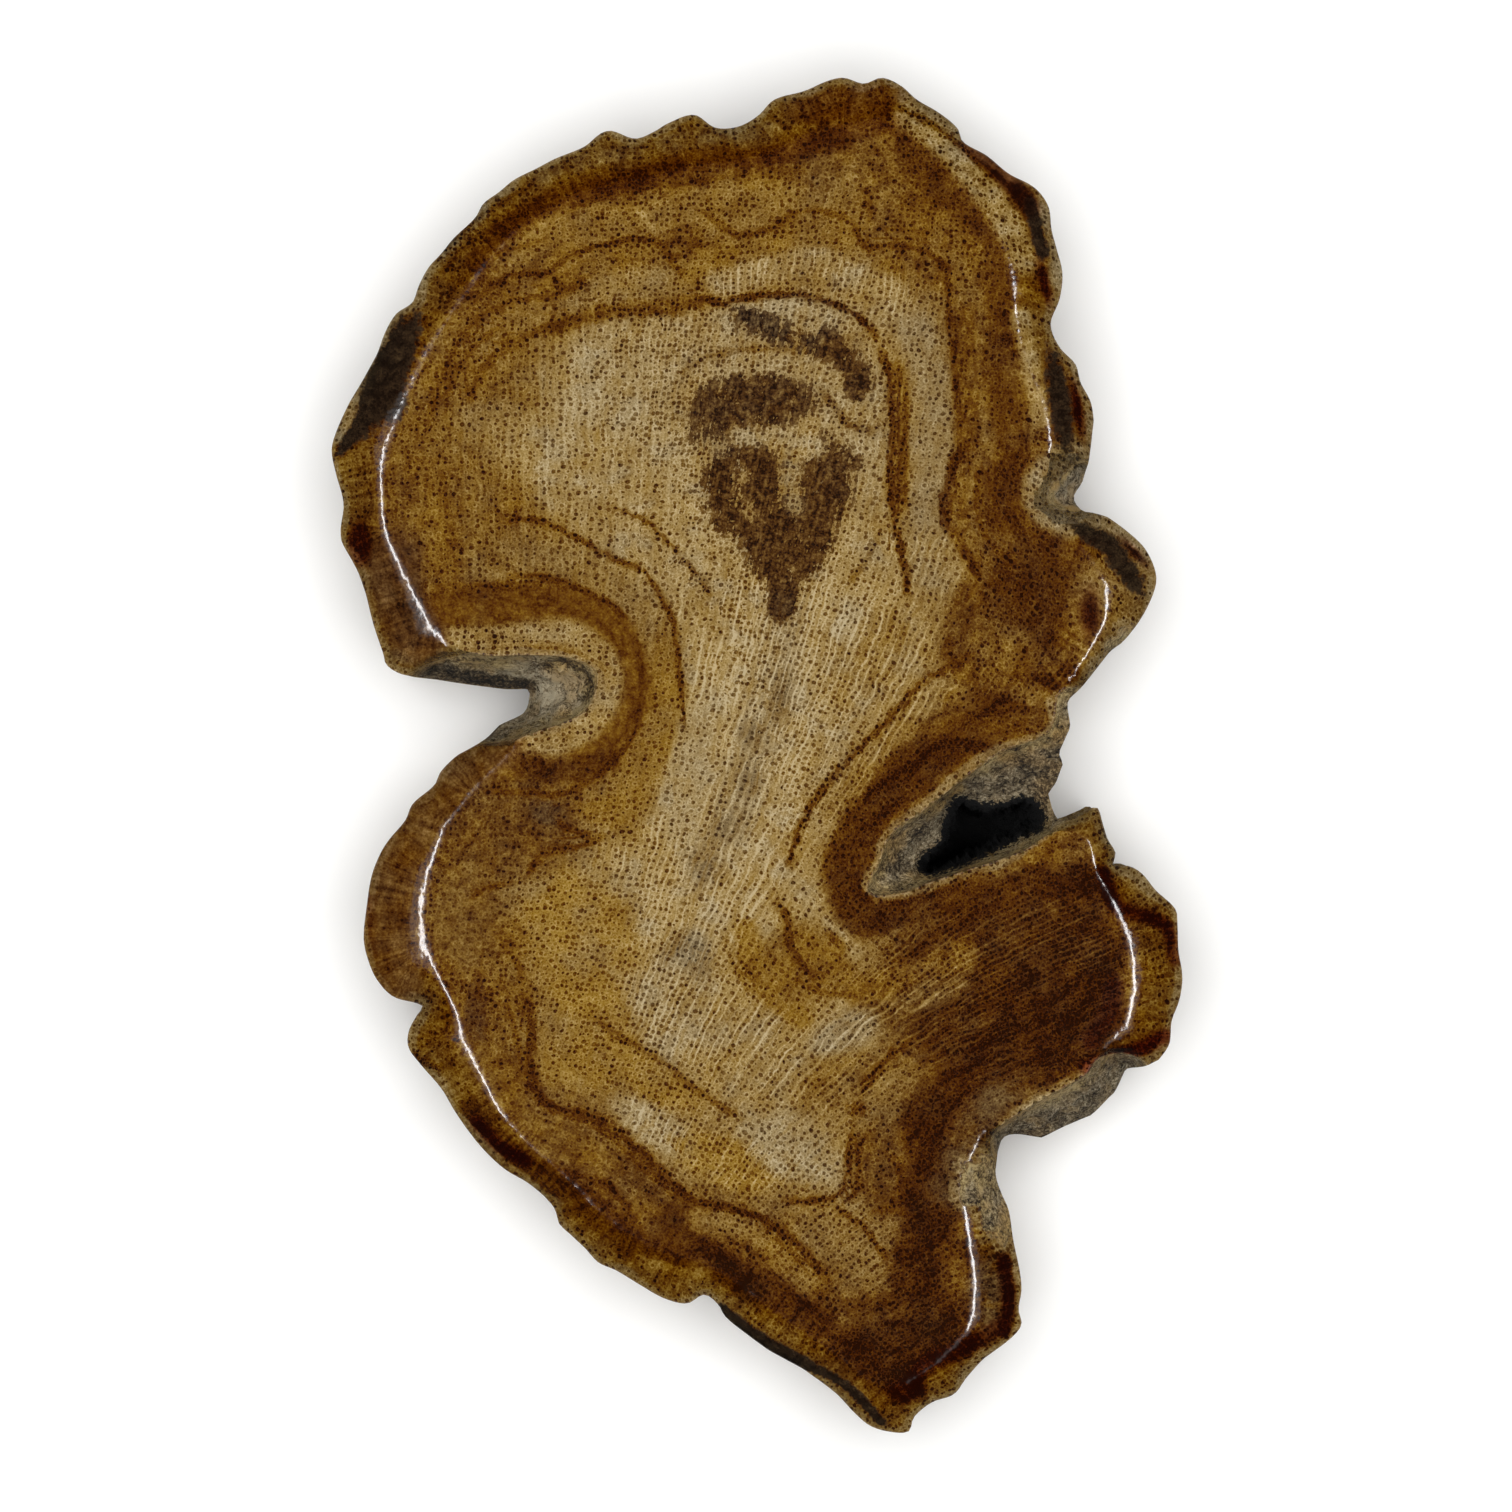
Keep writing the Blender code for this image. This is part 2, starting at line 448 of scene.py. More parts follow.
# Places, and the slope of the rays there in degrees
RAY_SLOPES = (
    (500, 300, 88), (640, 250, 90), (760, 260, 88), (880, 280, 82), (980, 300, 84), (450, 450, 92),
    (560, 450, 90), (660, 450, 90), (760, 330, 88), (900, 450, 82), (980, 430, 76), (480, 560, 92),
    (600, 560, 90), (700, 600, 86), (800, 620, 80), (900, 560, 68), (960, 600, 60), (1040, 560, 48),
    (640, 680, 88), (700, 700, 84), (760, 700, 76), (840, 700, 66), (900, 680, 56), (960, 680, 42),
    (1030, 700, 22), (640, 800, 86), (700, 820, 78), (760, 820, 70), (820, 800, 62), (860, 760, 52),
    (600, 900, 84), (680, 900, 74), (740, 900, 68), (800, 900, 55), (640, 980, 76), (700, 1020, 66),
    (760, 1040, 52), (820, 1040, 38), (900, 1020, 27), (960, 980, 24), (1040, 960, 22),
    (1100, 940, 20), (620, 1080, 76), (700, 1100, 58), (760, 1120, 48), (800, 1180, 45),
    (860, 1100, 32), (950, 1080, 22), (620, 1180, 70), (760, 1220, 50), (860, 1250, 38),
    (900, 1330, 36), (480, 900, 88), (500, 1040, 84), (850, 110, 88), (600, 160, 90), (1000, 180, 82),
    (1060, 400, 68), (1130, 570, 46), (1090, 650, 36), (1160, 950, 18), (1110, 1060, 20), (1010, 1320, 36),
    (900, 1410, 42), (700, 1280, 60), (560, 1200, 78), (420, 1060, 86), (380, 920, 88), (420, 780, 90),
    (360, 480, 92), (390, 620, 91), (380, 360, 91), (480, 230, 90), (560, 740, 88), (980, 850, 30),
)
SLOPE_POWERS = tuple((i, j) for i in range(6) for j in range(6 - i) if i + j)


def ray_coordinates(grid: ViewGrid, places: np.ndarray) -> np.ndarray:
    """Coordinates across and along the rays, fitted as smooth polynomials to their slopes.

    Args:
        grid: The pixel grid.
        places: Rows of x and y in millimetres.

    Returns:
        Rows of the distance across and along the rays, in about millimetres.
    """
    reach = 60.0
    known = np.array(RAY_SLOPES, float)
    spots = grid.to_mm(known[:, :2]) / reach
    angles = np.radians(known[:, 2])
    along = np.column_stack([np.cos(angles), np.sin(angles)])
    across = np.column_stack([along[:, 1], -along[:, 0]])

    def slopes(direction: np.ndarray) -> np.ndarray:
        """Each basis term's slope in a direction at each known spot."""
        x, y = spots.T
        columns = []
        for i, j in SLOPE_POWERS:
            rise_x = i * x ** max(i - 1, 0) * y**j
            rise_y = j * x**i * y ** max(j - 1, 0)
            columns.append((rise_x * direction[:, 0] + rise_y * direction[:, 1]) / reach)
        return np.column_stack(columns)

    x, y = (places / reach).T
    basis = np.column_stack([x**i * y**j for i, j in SLOPE_POWERS])
    ones, zeros = np.ones(len(known)), np.zeros(len(known))
    result = []
    for steady, rising in ((along, across), (across, along)):
        rows = np.vstack([3.0 * slopes(steady), slopes(rising)])
        answer = np.linalg.lstsq(rows, np.concatenate([zeros, ones]), rcond=1e-6)[0]
        result.append(basis @ answer)
    return np.column_stack(result)


@dataclass
class Painter:
    """Works out what the stone looks like at each place of its face."""

    grid: ViewGrid
    stains: tuple[Stain, ...]
    lines: tuple[GrowthLine, ...]
    line_step = 0.15
    line_reach = 1.6

    def marks(self, pixels: np.ndarray, bark_gap: np.ndarray) -> dict[str, np.ndarray]:
        """The level of each mark at each place.

        Args:
            pixels: Rows of across and down.
            bark_gap: How far each place lies from the bark, in millimetres.

        Returns:
            One array a mark.
        """
        gap = bark_gap / self.grid.mm_per_pixel
        names = [item.name for item in fields(Stain) if item.name != "area"]
        levels = {name: np.zeros(len(pixels)) for name in names}
        levels["tone"] = np.interp(gap, RING_DISTANCES, RING_TONES)
        levels["gold"] = np.interp(gap, (0, 40, 140), (0.75, 0.9, 0.45))
        levels["pores"] += 0.9
        levels["rind"] += 0.66
        levels["threads"] = np.interp(gap, (20, 90, 150), (0.2, 0.35, 0.6))
        for stain in self.stains:
            cover = stain.area.cover(pixels)
            for name in names:
                level = getattr(stain, name)
                if level is not None:
                    levels[name] += (level - levels[name]) * cover
        levels["tone"] -= 0.09 * soft_step(levels["tone"], 0.44, 0.22)
        return levels

    def ink(self, places: np.ndarray, bark: Trace) -> tuple[np.ndarray, np.ndarray]:
        """How far each place lies from the nearest growth line, and how dark that line is.

        Args:
            places: Rows of x and y in millimetres.
            bark: The stone's outline, towards which the side counts as positive.

        Returns:
            The signed distance in line widths, and the darkness up to 1.
        """
        samples, normals, inks, widths = [], [], [], []
        for drawn in self.lines:
            line = curve_through(self.grid.to_mm(np.array(drawn.line)), self.line_step, closed=False)
            along = np.gradient(line, axis=0)
            normal = np.column_stack([-along[:, 1], along[:, 0]])
            normal /= np.maximum(np.linalg.norm(normal, axis=1, keepdims=True), 1e-9)
            gain = bark.distance(line + normal) - bark.distance(line - normal)
            if gain.mean() > 0:
                normal = -normal
            ends = np.minimum(np.arange(len(line)), np.arange(len(line))[::-1]) * self.line_step
            samples.append(line)
            normals.append(normal)
            inks.append(drawn.ink * soft_step(ends, -0.4, 1.4))
            widths.append(np.full(len(line), drawn.width))
        trace = Trace(np.vstack(samples), closed=False)
        found = trace.nearest(places)
        gap = places - trace.points[found]
        reach = np.linalg.norm(gap, axis=1)
        away = np.maximum(reach - 0.06, 0.0)
        side = np.where((gap * np.vstack(normals)[found]).sum(1) < 0, -away, away)
        width = np.concatenate(widths)[found]
        fade = soft_step(reach, 0.75 + 0.3 * width, 0.35 + 0.3 * width)
        away = np.clip(side, -self.line_reach, self.line_reach) / width
        return away, np.concatenate(inks)[found] * fade


def spot(
    x: float, y: float, across: float, down: float, turn: float = 0.0, soft: float = 0.3, **levels: float
) -> Stain:
    """A stain in an oval, from its middle, its two radii and its levels."""
    return Stain(Oval((x, y), (across, down), turn, soft), **levels)


def band(half_width: float, *line: Pixel, soft: float = 0.4, **levels: float) -> Stain:
    """A stain along a line, from its half width, the line's points and its levels."""
    return Stain(Ribbon(line, half_width, soft), **levels)


# Wide stains come first, and finer ones lie over them
STAINS = (
    # The upper left lobe
    spot(490, 450, 85, 110, tone=0.50, gold=0.75),
    spot(520, 350, 60, 50, tone=0.51, gold=0.75),
    band(20, (428, 380), (424, 440), (432, 500), (452, 560), tone=0.46, gold=0.85),
    spot(500, 420, 45, 18, tone=0.62, gold=0.5),
    # The crown
    spot(680, 245, 190, 50, tone=0.55, gold=0.8, threads=0.2),
    band(11, (476, 262), (505, 230), (560, 198), (620, 184), (700, 160), (760, 158), (830, 140),
         (890, 122), tone=0.30, gold=0.95, red=0.2),
    band(9, (540, 176), (600, 158), (690, 140), (770, 130), tone=0.43, grey=0.2),
    spot(845, 104, 60, 18, turn=10, tone=0.34, gold=0.9, red=0.35),
    spot(682, 246, 22, 16, tone=0.42, gold=0.9),
    spot(760, 196, 45, 18, tone=0.60),
    spot(650, 215, 50, 16, tone=0.55),
    spot(905, 200, 45, 55, tone=0.43, gold=0.9, threads=0.2),
    band(18, (915, 150), (930, 180), (965, 200), (990, 240), (1000, 280), tone=0.32, gold=0.95),
    spot(935, 262, 60, 28, tone=0.46, gold=0.85),
    band(14, (720, 284), (760, 274), (820, 262), (850, 278), (885, 290), (905, 315), tone=0.70, gold=0.3,
         threads=0.9),
    spot(630, 284, 42, 14, turn=10, tone=0.64, gold=0.5),
    band(7, (545, 335), (600, 314), (650, 307), (700, 303), tone=0.43, gold=1.0),
    spot(565, 285, 30, 14, turn=25, tone=0.45, gold=0.95),
    # The cream field round the heart
    spot(650, 400, 115, 78, tone=0.76, gold=0.25, grey=0.15),
    spot(600, 480, 110, 45, turn=-20, tone=0.75, gold=0.4),
    spot(690, 500, 70, 90, turn=-30, tone=0.78, gold=0.3),
    band(11, (560, 505), (610, 515), (650, 550), (690, 620), (700, 680), tone=0.74, gold=0.3),
    spot(790, 320, 75, 22, tone=0.76, gold=0.15, grey=0.35),
    spot(855, 430, 38, 80, tone=0.74, gold=0.2, grey=0.15),
    spot(740, 395, 85, 45, tone=0.74, gold=0.25, grey=0.2),
    spot(860, 570, 42, 60, tone=0.76, gold=0.3),
    # The column right of the heart
    band(8, (897, 372), (900, 430), (899, 510), tone=0.47, gold=1.0),
    band(18, (915, 330), (930, 380), (935, 430), (930, 500), (925, 560), tone=0.68, gold=0.15, grey=0.15,
         threads=0.3),
    spot(930, 560, 28, 40, turn=30, tone=0.66, gold=0.25, threads=0.8),
    band(13, (962, 320), (966, 380), (966, 440), tone=0.37, gold=0.95),
    band(16, (1002, 260), (1002, 330), (1000, 400), (1012, 450), tone=0.33, gold=0.95),
    band(11, (965, 465), (955, 500), (965, 540), (990, 575), tone=0.46, gold=0.8),
    spot(1005, 500, 25, 45, tone=0.28, gold=0.95),
    # The knob on the right
    spot(1045, 590, 62, 65, tone=0.28, gold=0.9, pores=1.0),
    spot(965, 625, 22, 48, turn=-15, tone=0.36, gold=0.9),
    spot(1000, 642, 30, 16, tone=0.48, gold=0.75),
    band(14, (985, 690), (1030, 690), (1065, 675), tone=0.28, gold=0.95, threads=0.7),
    # The neck
    spot(765, 700, 78, 150, turn=-14, tone=0.80, gold=0.25, threads=1.0),
    spot(700, 860, 85, 110, turn=-12, tone=0.78, gold=0.3, threads=0.9),
    spot(640, 760, 28, 80, turn=-8, tone=0.60, gold=0.8, threads=0.3),
    spot(665, 690, 16, 60, tone=0.56, gold=0.85, threads=0.3),
    spot(690, 770, 22, 70, turn=-14, tone=0.79, gold=0.15, grey=0.2, threads=0.4),
    spot(880, 660, 55, 45, turn=40, tone=0.66, gold=0.5, threads=1.0),
    band(11, (955, 690), (915, 712), (870, 760), (835, 810), tone=0.56, gold=0.6, threads=1.0),
    band(20, (786, 612), (782, 660), (770, 700), (757, 735), (748, 775), (732, 815), soft=0.9, tone=0.73,
         grey=0.30, gold=0.1),
    spot(782, 696, 9, 24, turn=-12, soft=0.9, tone=0.52, grey=0.4, gold=0.1),
    spot(751, 734, 13, 13, soft=0.9, tone=0.54, grey=0.4, gold=0.1),
    spot(749, 778, 10, 19, turn=-15, soft=0.9, tone=0.54, grey=0.4, gold=0.1),
    spot(727, 828, 20, 13, turn=40, soft=0.9, tone=0.57, grey=0.4, gold=0.1),
    spot(704, 866, 17, 19, soft=0.9, tone=0.60, grey=0.5, gold=0.1),
    spot(682, 968, 26, 42, turn=-25, tone=0.60, grey=0.6, gold=0.1),
    # The dark wood round the hollow
    band(22, (1050, 712), (1000, 722), (960, 740), (922, 768), (886, 796), (858, 835), (846, 872),
         (852, 905), tone=0.28, gold=0.95, threads=0.4),
    band(6, (880, 690), (855, 716), (826, 752), (806, 792), tone=0.70, gold=0.2),
    band(10, (960, 672), (1000, 682), (1040, 700), tone=0.42, gold=0.9),
    # The lower right lobe
    spot(1010, 985, 135, 100, tone=0.25, gold=0.85, threads=0.8),
    spot(1050, 1010, 62, 50, turn=20, tone=0.19, gold=0.9, threads=0.5),
    band(15, (862, 925), (920, 905), (1000, 892), (1085, 880), tone=0.26, gold=0.95, threads=0.4),
    band(16, (820, 960), (860, 985), (910, 978), (960, 955), tone=0.44, gold=0.85, threads=0.8),
    band(12, (860, 1020), (910, 1000), (955, 985), tone=0.40, gold=0.6, threads=1.0),
    spot(1100, 842, 14, 24, tone=0.45, gold=0.7),
    spot(1144, 880, 28, 14, turn=-30, tone=0.60, gold=0.6),
    band(7, (1102, 872), (1115, 905), (1165, 925), (1176, 960), tone=0.16, red=0.8, gold=1.0),
    band(8, (1086, 1066), (1130, 1052), (1165, 1036), tone=0.12, red=1.0, gold=1.0),
    band(10, (1090, 1040), (1108, 1010), (1112, 985), tone=0.18, red=0.7, grey=0.3),
    spot(1146, 985, 24, 50, tone=0.40, gold=0.9),
    # The lower middle
    spot(740, 1040, 70, 45, turn=-30, tone=0.69, gold=0.35, threads=1.0),
    spot(662, 1010, 42, 50, tone=0.74, gold=0.2, grey=0.15, threads=0.9),
    spot(800, 965, 45, 40, tone=0.52, gold=0.9, threads=0.5),
    band(12, (745, 930), (765, 985), (800, 1015), tone=0.54, gold=1.0),
    spot(842, 1032, 36, 18, turn=25, tone=0.68, gold=0.1, grey=0.4, threads=1.0),
    spot(840, 1080, 50, 30, turn=20, tone=0.53, gold=0.6, threads=0.8),
    spot(655, 1078, 52, 20, turn=-35, tone=0.62, gold=0.9),
    spot(655, 1126, 48, 18, turn=-32, tone=0.79, gold=0.2, grey=0.3, threads=0.8),
    spot(728, 1162, 58, 24, turn=-20, tone=0.64, gold=0.9, threads=0.8),
    spot(790, 1148, 56, 28, turn=-30, tone=0.78, gold=0.15, grey=0.35, threads=0.5),
    band(12, (800, 1192), (840, 1232), (868, 1260), tone=0.58, gold=0.5),
    # The lower left lobe
    spot(575, 930, 62, 60, tone=0.66, gold=0.85, threads=0.3),
    spot(590, 1035, 50, 60, tone=0.63, gold=0.85, threads=0.4),
    spot(510, 825, 72, 48, tone=0.39, gold=0.7, threads=0.2, pores=0.7),
    spot(548, 812, 20, 12, turn=-20, tone=0.34, grey=0.3, gold=0.6),
    spot(612, 812, 28, 16, tone=0.58, gold=0.9),
    spot(470, 920, 36, 48, tone=0.46, gold=0.6, threads=0.2, pores=0.5),
    spot(505, 985, 28, 70, tone=0.46, gold=0.85, threads=0.2),
    spot(478, 1010, 12, 30, tone=0.30, grey=0.2),
    band(16, (470, 1050), (500, 1090), (540, 1135), (600, 1160), tone=0.50, gold=0.8, pores=0.6),
    band(16, (402, 800), (388, 850), (382, 930), (400, 980), tone=0.36, gold=0.9, pores=0.5),
    band(7, (372, 900), (376, 940), (388, 972), tone=0.14, red=0.9, gold=1.0),
    # The sole and the toe
    spot(640, 1172, 36, 18, turn=-40, tone=0.36, gold=0.8),
    band(16, (470, 1115), (520, 1165), (580, 1200), (640, 1246), (700, 1255), (750, 1282), (820, 1318),
         tone=0.26, gold=0.95, pores=0.7),
    spot(682, 1222, 30, 24, tone=0.28, gold=0.9, pores=0.5),
    band(7, (476, 1120), (500, 1145), (526, 1160), tone=0.13, red=0.9),
    band(12, (700, 1218), (745, 1228), (785, 1252), (815, 1285), tone=0.56, gold=0.7),
    band(6, (640, 1258), (676, 1270), (705, 1272), tone=0.45, gold=0.9),
    band(9, (705, 1246), (750, 1280), (800, 1306), tone=0.20, gold=0.9),
    band(8, (820, 1290), (850, 1308), (900, 1316), tone=0.40, gold=0.8),
    spot(905, 1335, 75, 40, turn=20, tone=0.20, gold=0.9),
    spot(880, 1305, 42, 14, tone=0.33, gold=0.8),
    band(9, (905, 1392), (925, 1362), (960, 1348), (1000, 1325), tone=0.11, red=0.7, gold=1.0),
    spot(905, 1388, 20, 12, tone=0.08, red=0.6, gold=1.0),
    spot(988, 1290, 20, 42, tone=0.34, gold=0.6, grey=0.35),
    band(7, (1004, 1260), (1008, 1300), (1004, 1330), tone=0.12, red=0.8, gold=1.0),
    # The heel
    band(28, (975, 1085), (932, 1110), (920, 1160), (925, 1220), (915, 1280), tone=0.22, gold=0.95),
    spot(880, 1165, 26, 45, tone=0.40, gold=0.7, threads=0.2),
    spot(990, 1140, 20, 20, tone=0.44, grey=0.3),
    # A soft pinkish-grey band beside the rolled edge's glint: a painted reflection
    band(17, (1000, 1092), (966, 1140), (948, 1190), soft=0.9, tone=0.33, grey=0.3, gold=0.5),
    # The left fold
    band(18, (450, 612), (500, 612), (548, 606), (590, 614), (618, 636), (632, 672), (628, 708),
         (610, 736), (574, 754), (516, 760), tone=0.38, gold=1.0, pores=0.2, threads=0.0),
    band(13, (458, 640), (500, 638), (545, 632), (580, 636), (602, 655), (611, 680), (605, 706),
         (588, 728), (558, 742), (520, 744), tone=0.71, gold=0.5, grey=0.1, threads=0.0, pores=1.0),
    band(12, (520, 764), (570, 772), (610, 760), tone=0.31, gold=0.9, pores=0.6),
    band(10, (440, 596), (500, 592), (560, 596), tone=0.36, gold=0.95),
    # A reddish-grey band on the rolled edge outside the glint, partly the stone's own colour and partly
    # painted sheen
    band(26, (392, 560), (400, 600), (420, 640), tone=0.36, gold=0.3, red=0.35, grey=0.2, pores=0.3),
    spot(360, 545, 12, 22, tone=0.16, red=0.8, gold=1.0),
    spot(420, 655, 30, 9, tone=0.44, gold=0.3, grey=0.3),
    # The same reddish-grey on the lower left roll, partly the stone's own colour and partly painted sheen
    band(24, (500, 742), (462, 768), (426, 806), (402, 852), (392, 920), (398, 980), tone=0.42, gold=0.6,
         grey=0.15, red=0.3, pores=0.3),
    # How pale the rind is
    spot(545, 690, 75, 36, rind=0.86),
    spot(420, 672, 60, 16, rind=0.60),
    spot(1065, 490, 36, 32, rind=0.82),
    spot(970, 800, 130, 78, turn=40, rind=0.56),
    spot(1066, 1106, 80, 40, turn=30, rind=0.62),
    spot(990, 1198, 26, 36, rind=0.56),
    spot(556, 688, 24, 15, soft=0.6, rind=1.0),
    # Painted shadow under the fold's upper lip, and painted shade in the cracks round the pale knob
    band(6, (430, 671), (470, 677), (504, 683), (530, 686), soft=0.7, rind=0.22),
    band(4, (540, 668), (562, 661), (582, 669), (592, 684), (584, 700), soft=0.8, rind=0.34),
    # The heart
    spot(755, 403, 64, 26, turn=2, soft=0.4, heart=1.0),
    spot(722, 420, 34, 26, turn=15, soft=0.6, heart=0.85),
    band(10, (716, 432), (732, 450), (746, 464), soft=0.9, heart=0.7),
    spot(752, 468, 40, 26, turn=-20, soft=0.5, heart=1.0),
    spot(736, 500, 30, 42, turn=28, soft=0.5, heart=1.0),
    spot(786, 522, 50, 42, soft=0.4, heart=1.0),
    spot(824, 486, 28, 46, turn=-6, soft=0.5, heart=1.0),
    spot(786, 556, 36, 32, soft=0.4, heart=1.0),
    band(15, (786, 566), (784, 592), (782, 610), soft=0.5, heart=1.0),
    spot(850, 464, 14, 9, soft=0.7, heart=0.8),
    band(10, (791, 452), (789, 480), (794, 506), soft=0.8, heart=0.22, tone=0.68, grey=0.45),
    band(8, (738, 438), (770, 440), (812, 445), soft=0.7, heart=0.10, tone=0.74, grey=0.3),
    spot(808, 448, 16, 10, soft=0.7, heart=0.0, tone=0.80, grey=0.5),
    band(6, (744, 474), (740, 492), (748, 512), soft=0.9, heart=0.30, tone=0.70),
    spot(716, 448, 16, 12, soft=0.8, heart=0.25, tone=0.66, grey=0.4),
    band(12, (742, 321), (772, 331), (806, 346), soft=0.8, heart=0.85, grey=0.5),
    band(15, (826, 345), (846, 358), (859, 386), soft=0.7, heart=1.0),
    # Glassy lenses under the bark
    band(7, (340, 438), (352, 408), (366, 378), (378, 348), (388, 324), (404, 300), (424, 272),
         (446, 246), (474, 216), (498, 190), soft=0.7, tone=0.74, grey=0.7, gold=0.2, threads=0.0),
    spot(388, 374, 19, 66, turn=-24, soft=0.5, agate=1.0),
    spot(394, 402, 13, 22, soft=0.8, agate=0.9),
    spot(356, 432, 7, 32, turn=-38, soft=0.5, agate=1.0),
    band(10, (970, 146), (990, 160), (1012, 184), (1030, 208), soft=0.6, tone=0.12, red=0.7, gold=0.6,
         pores=0.2),
    band(7, (1030, 204), (1036, 226), (1042, 254), soft=0.8, agate=0.9),
    spot(1044, 284, 5, 22, turn=14, soft=0.7, tone=0.12, red=0.9),
    band(8, (1040, 208), (1056, 238), (1058, 282), soft=0.6, tone=0.70, gold=0.2, grey=0.5),
    spot(1059, 404, 11, 52, turn=8, soft=0.8, agate=0.95),
    spot(1077, 408, 5, 28, turn=10, soft=0.6, tone=0.13, red=1.0),
    band(7, (1070, 350), (1086, 384), (1092, 430), (1086, 466), soft=0.6, tone=0.66, gold=0.3, grey=0.4),
    spot(1114, 590, 36, 62, turn=-22, soft=0.6, tone=0.56, gold=0.45, threads=0.0, pores=1.0),
    spot(1094, 538, 9, 26, turn=62, soft=0.8, agate=0.95),
    spot(1122, 566, 11, 34, turn=36, soft=0.8, agate=0.95),
    band(8, (1092, 518), (1120, 532), (1146, 560), (1156, 592), (1150, 626), (1132, 654), soft=0.6,
         tone=0.70, gold=0.2, grey=0.5),
    spot(1134, 552, 4, 18, turn=44, soft=0.8, tone=0.10, red=0.8),
    spot(1089, 614, 8, 20, soft=0.9, tone=0.12, red=0.8, pores=0.2),
    band(14, (1070, 452), (1048, 470), (1036, 492), (1042, 510), (1064, 522), (1092, 522), soft=0.5,
         tone=0.72, gold=0.2, grey=0.5, pores=1.0, threads=0.0),
    band(8, (905, 98), (936, 112), (964, 140), soft=0.7, tone=0.62, gold=0.4, grey=0.3),
    band(8, (722, 1312), (742, 1328), (762, 1341), (782, 1352), (804, 1364), soft=0.5, agate=1.0),
    band(5, (804, 1364), (832, 1375), (852, 1390), (868, 1406), (882, 1422), soft=0.7, agate=0.9),
    # Pale dotted wood under the bark
    band(14, (905, 116), (944, 146), (972, 178), (1000, 214), (1018, 246), (1024, 262), tone=0.73,
         gold=0.4, threads=0.0, pores=1.0),
    band(10, (1020, 318), (1030, 362), (1040, 420), tone=0.68, gold=0.4, threads=0.0),
)

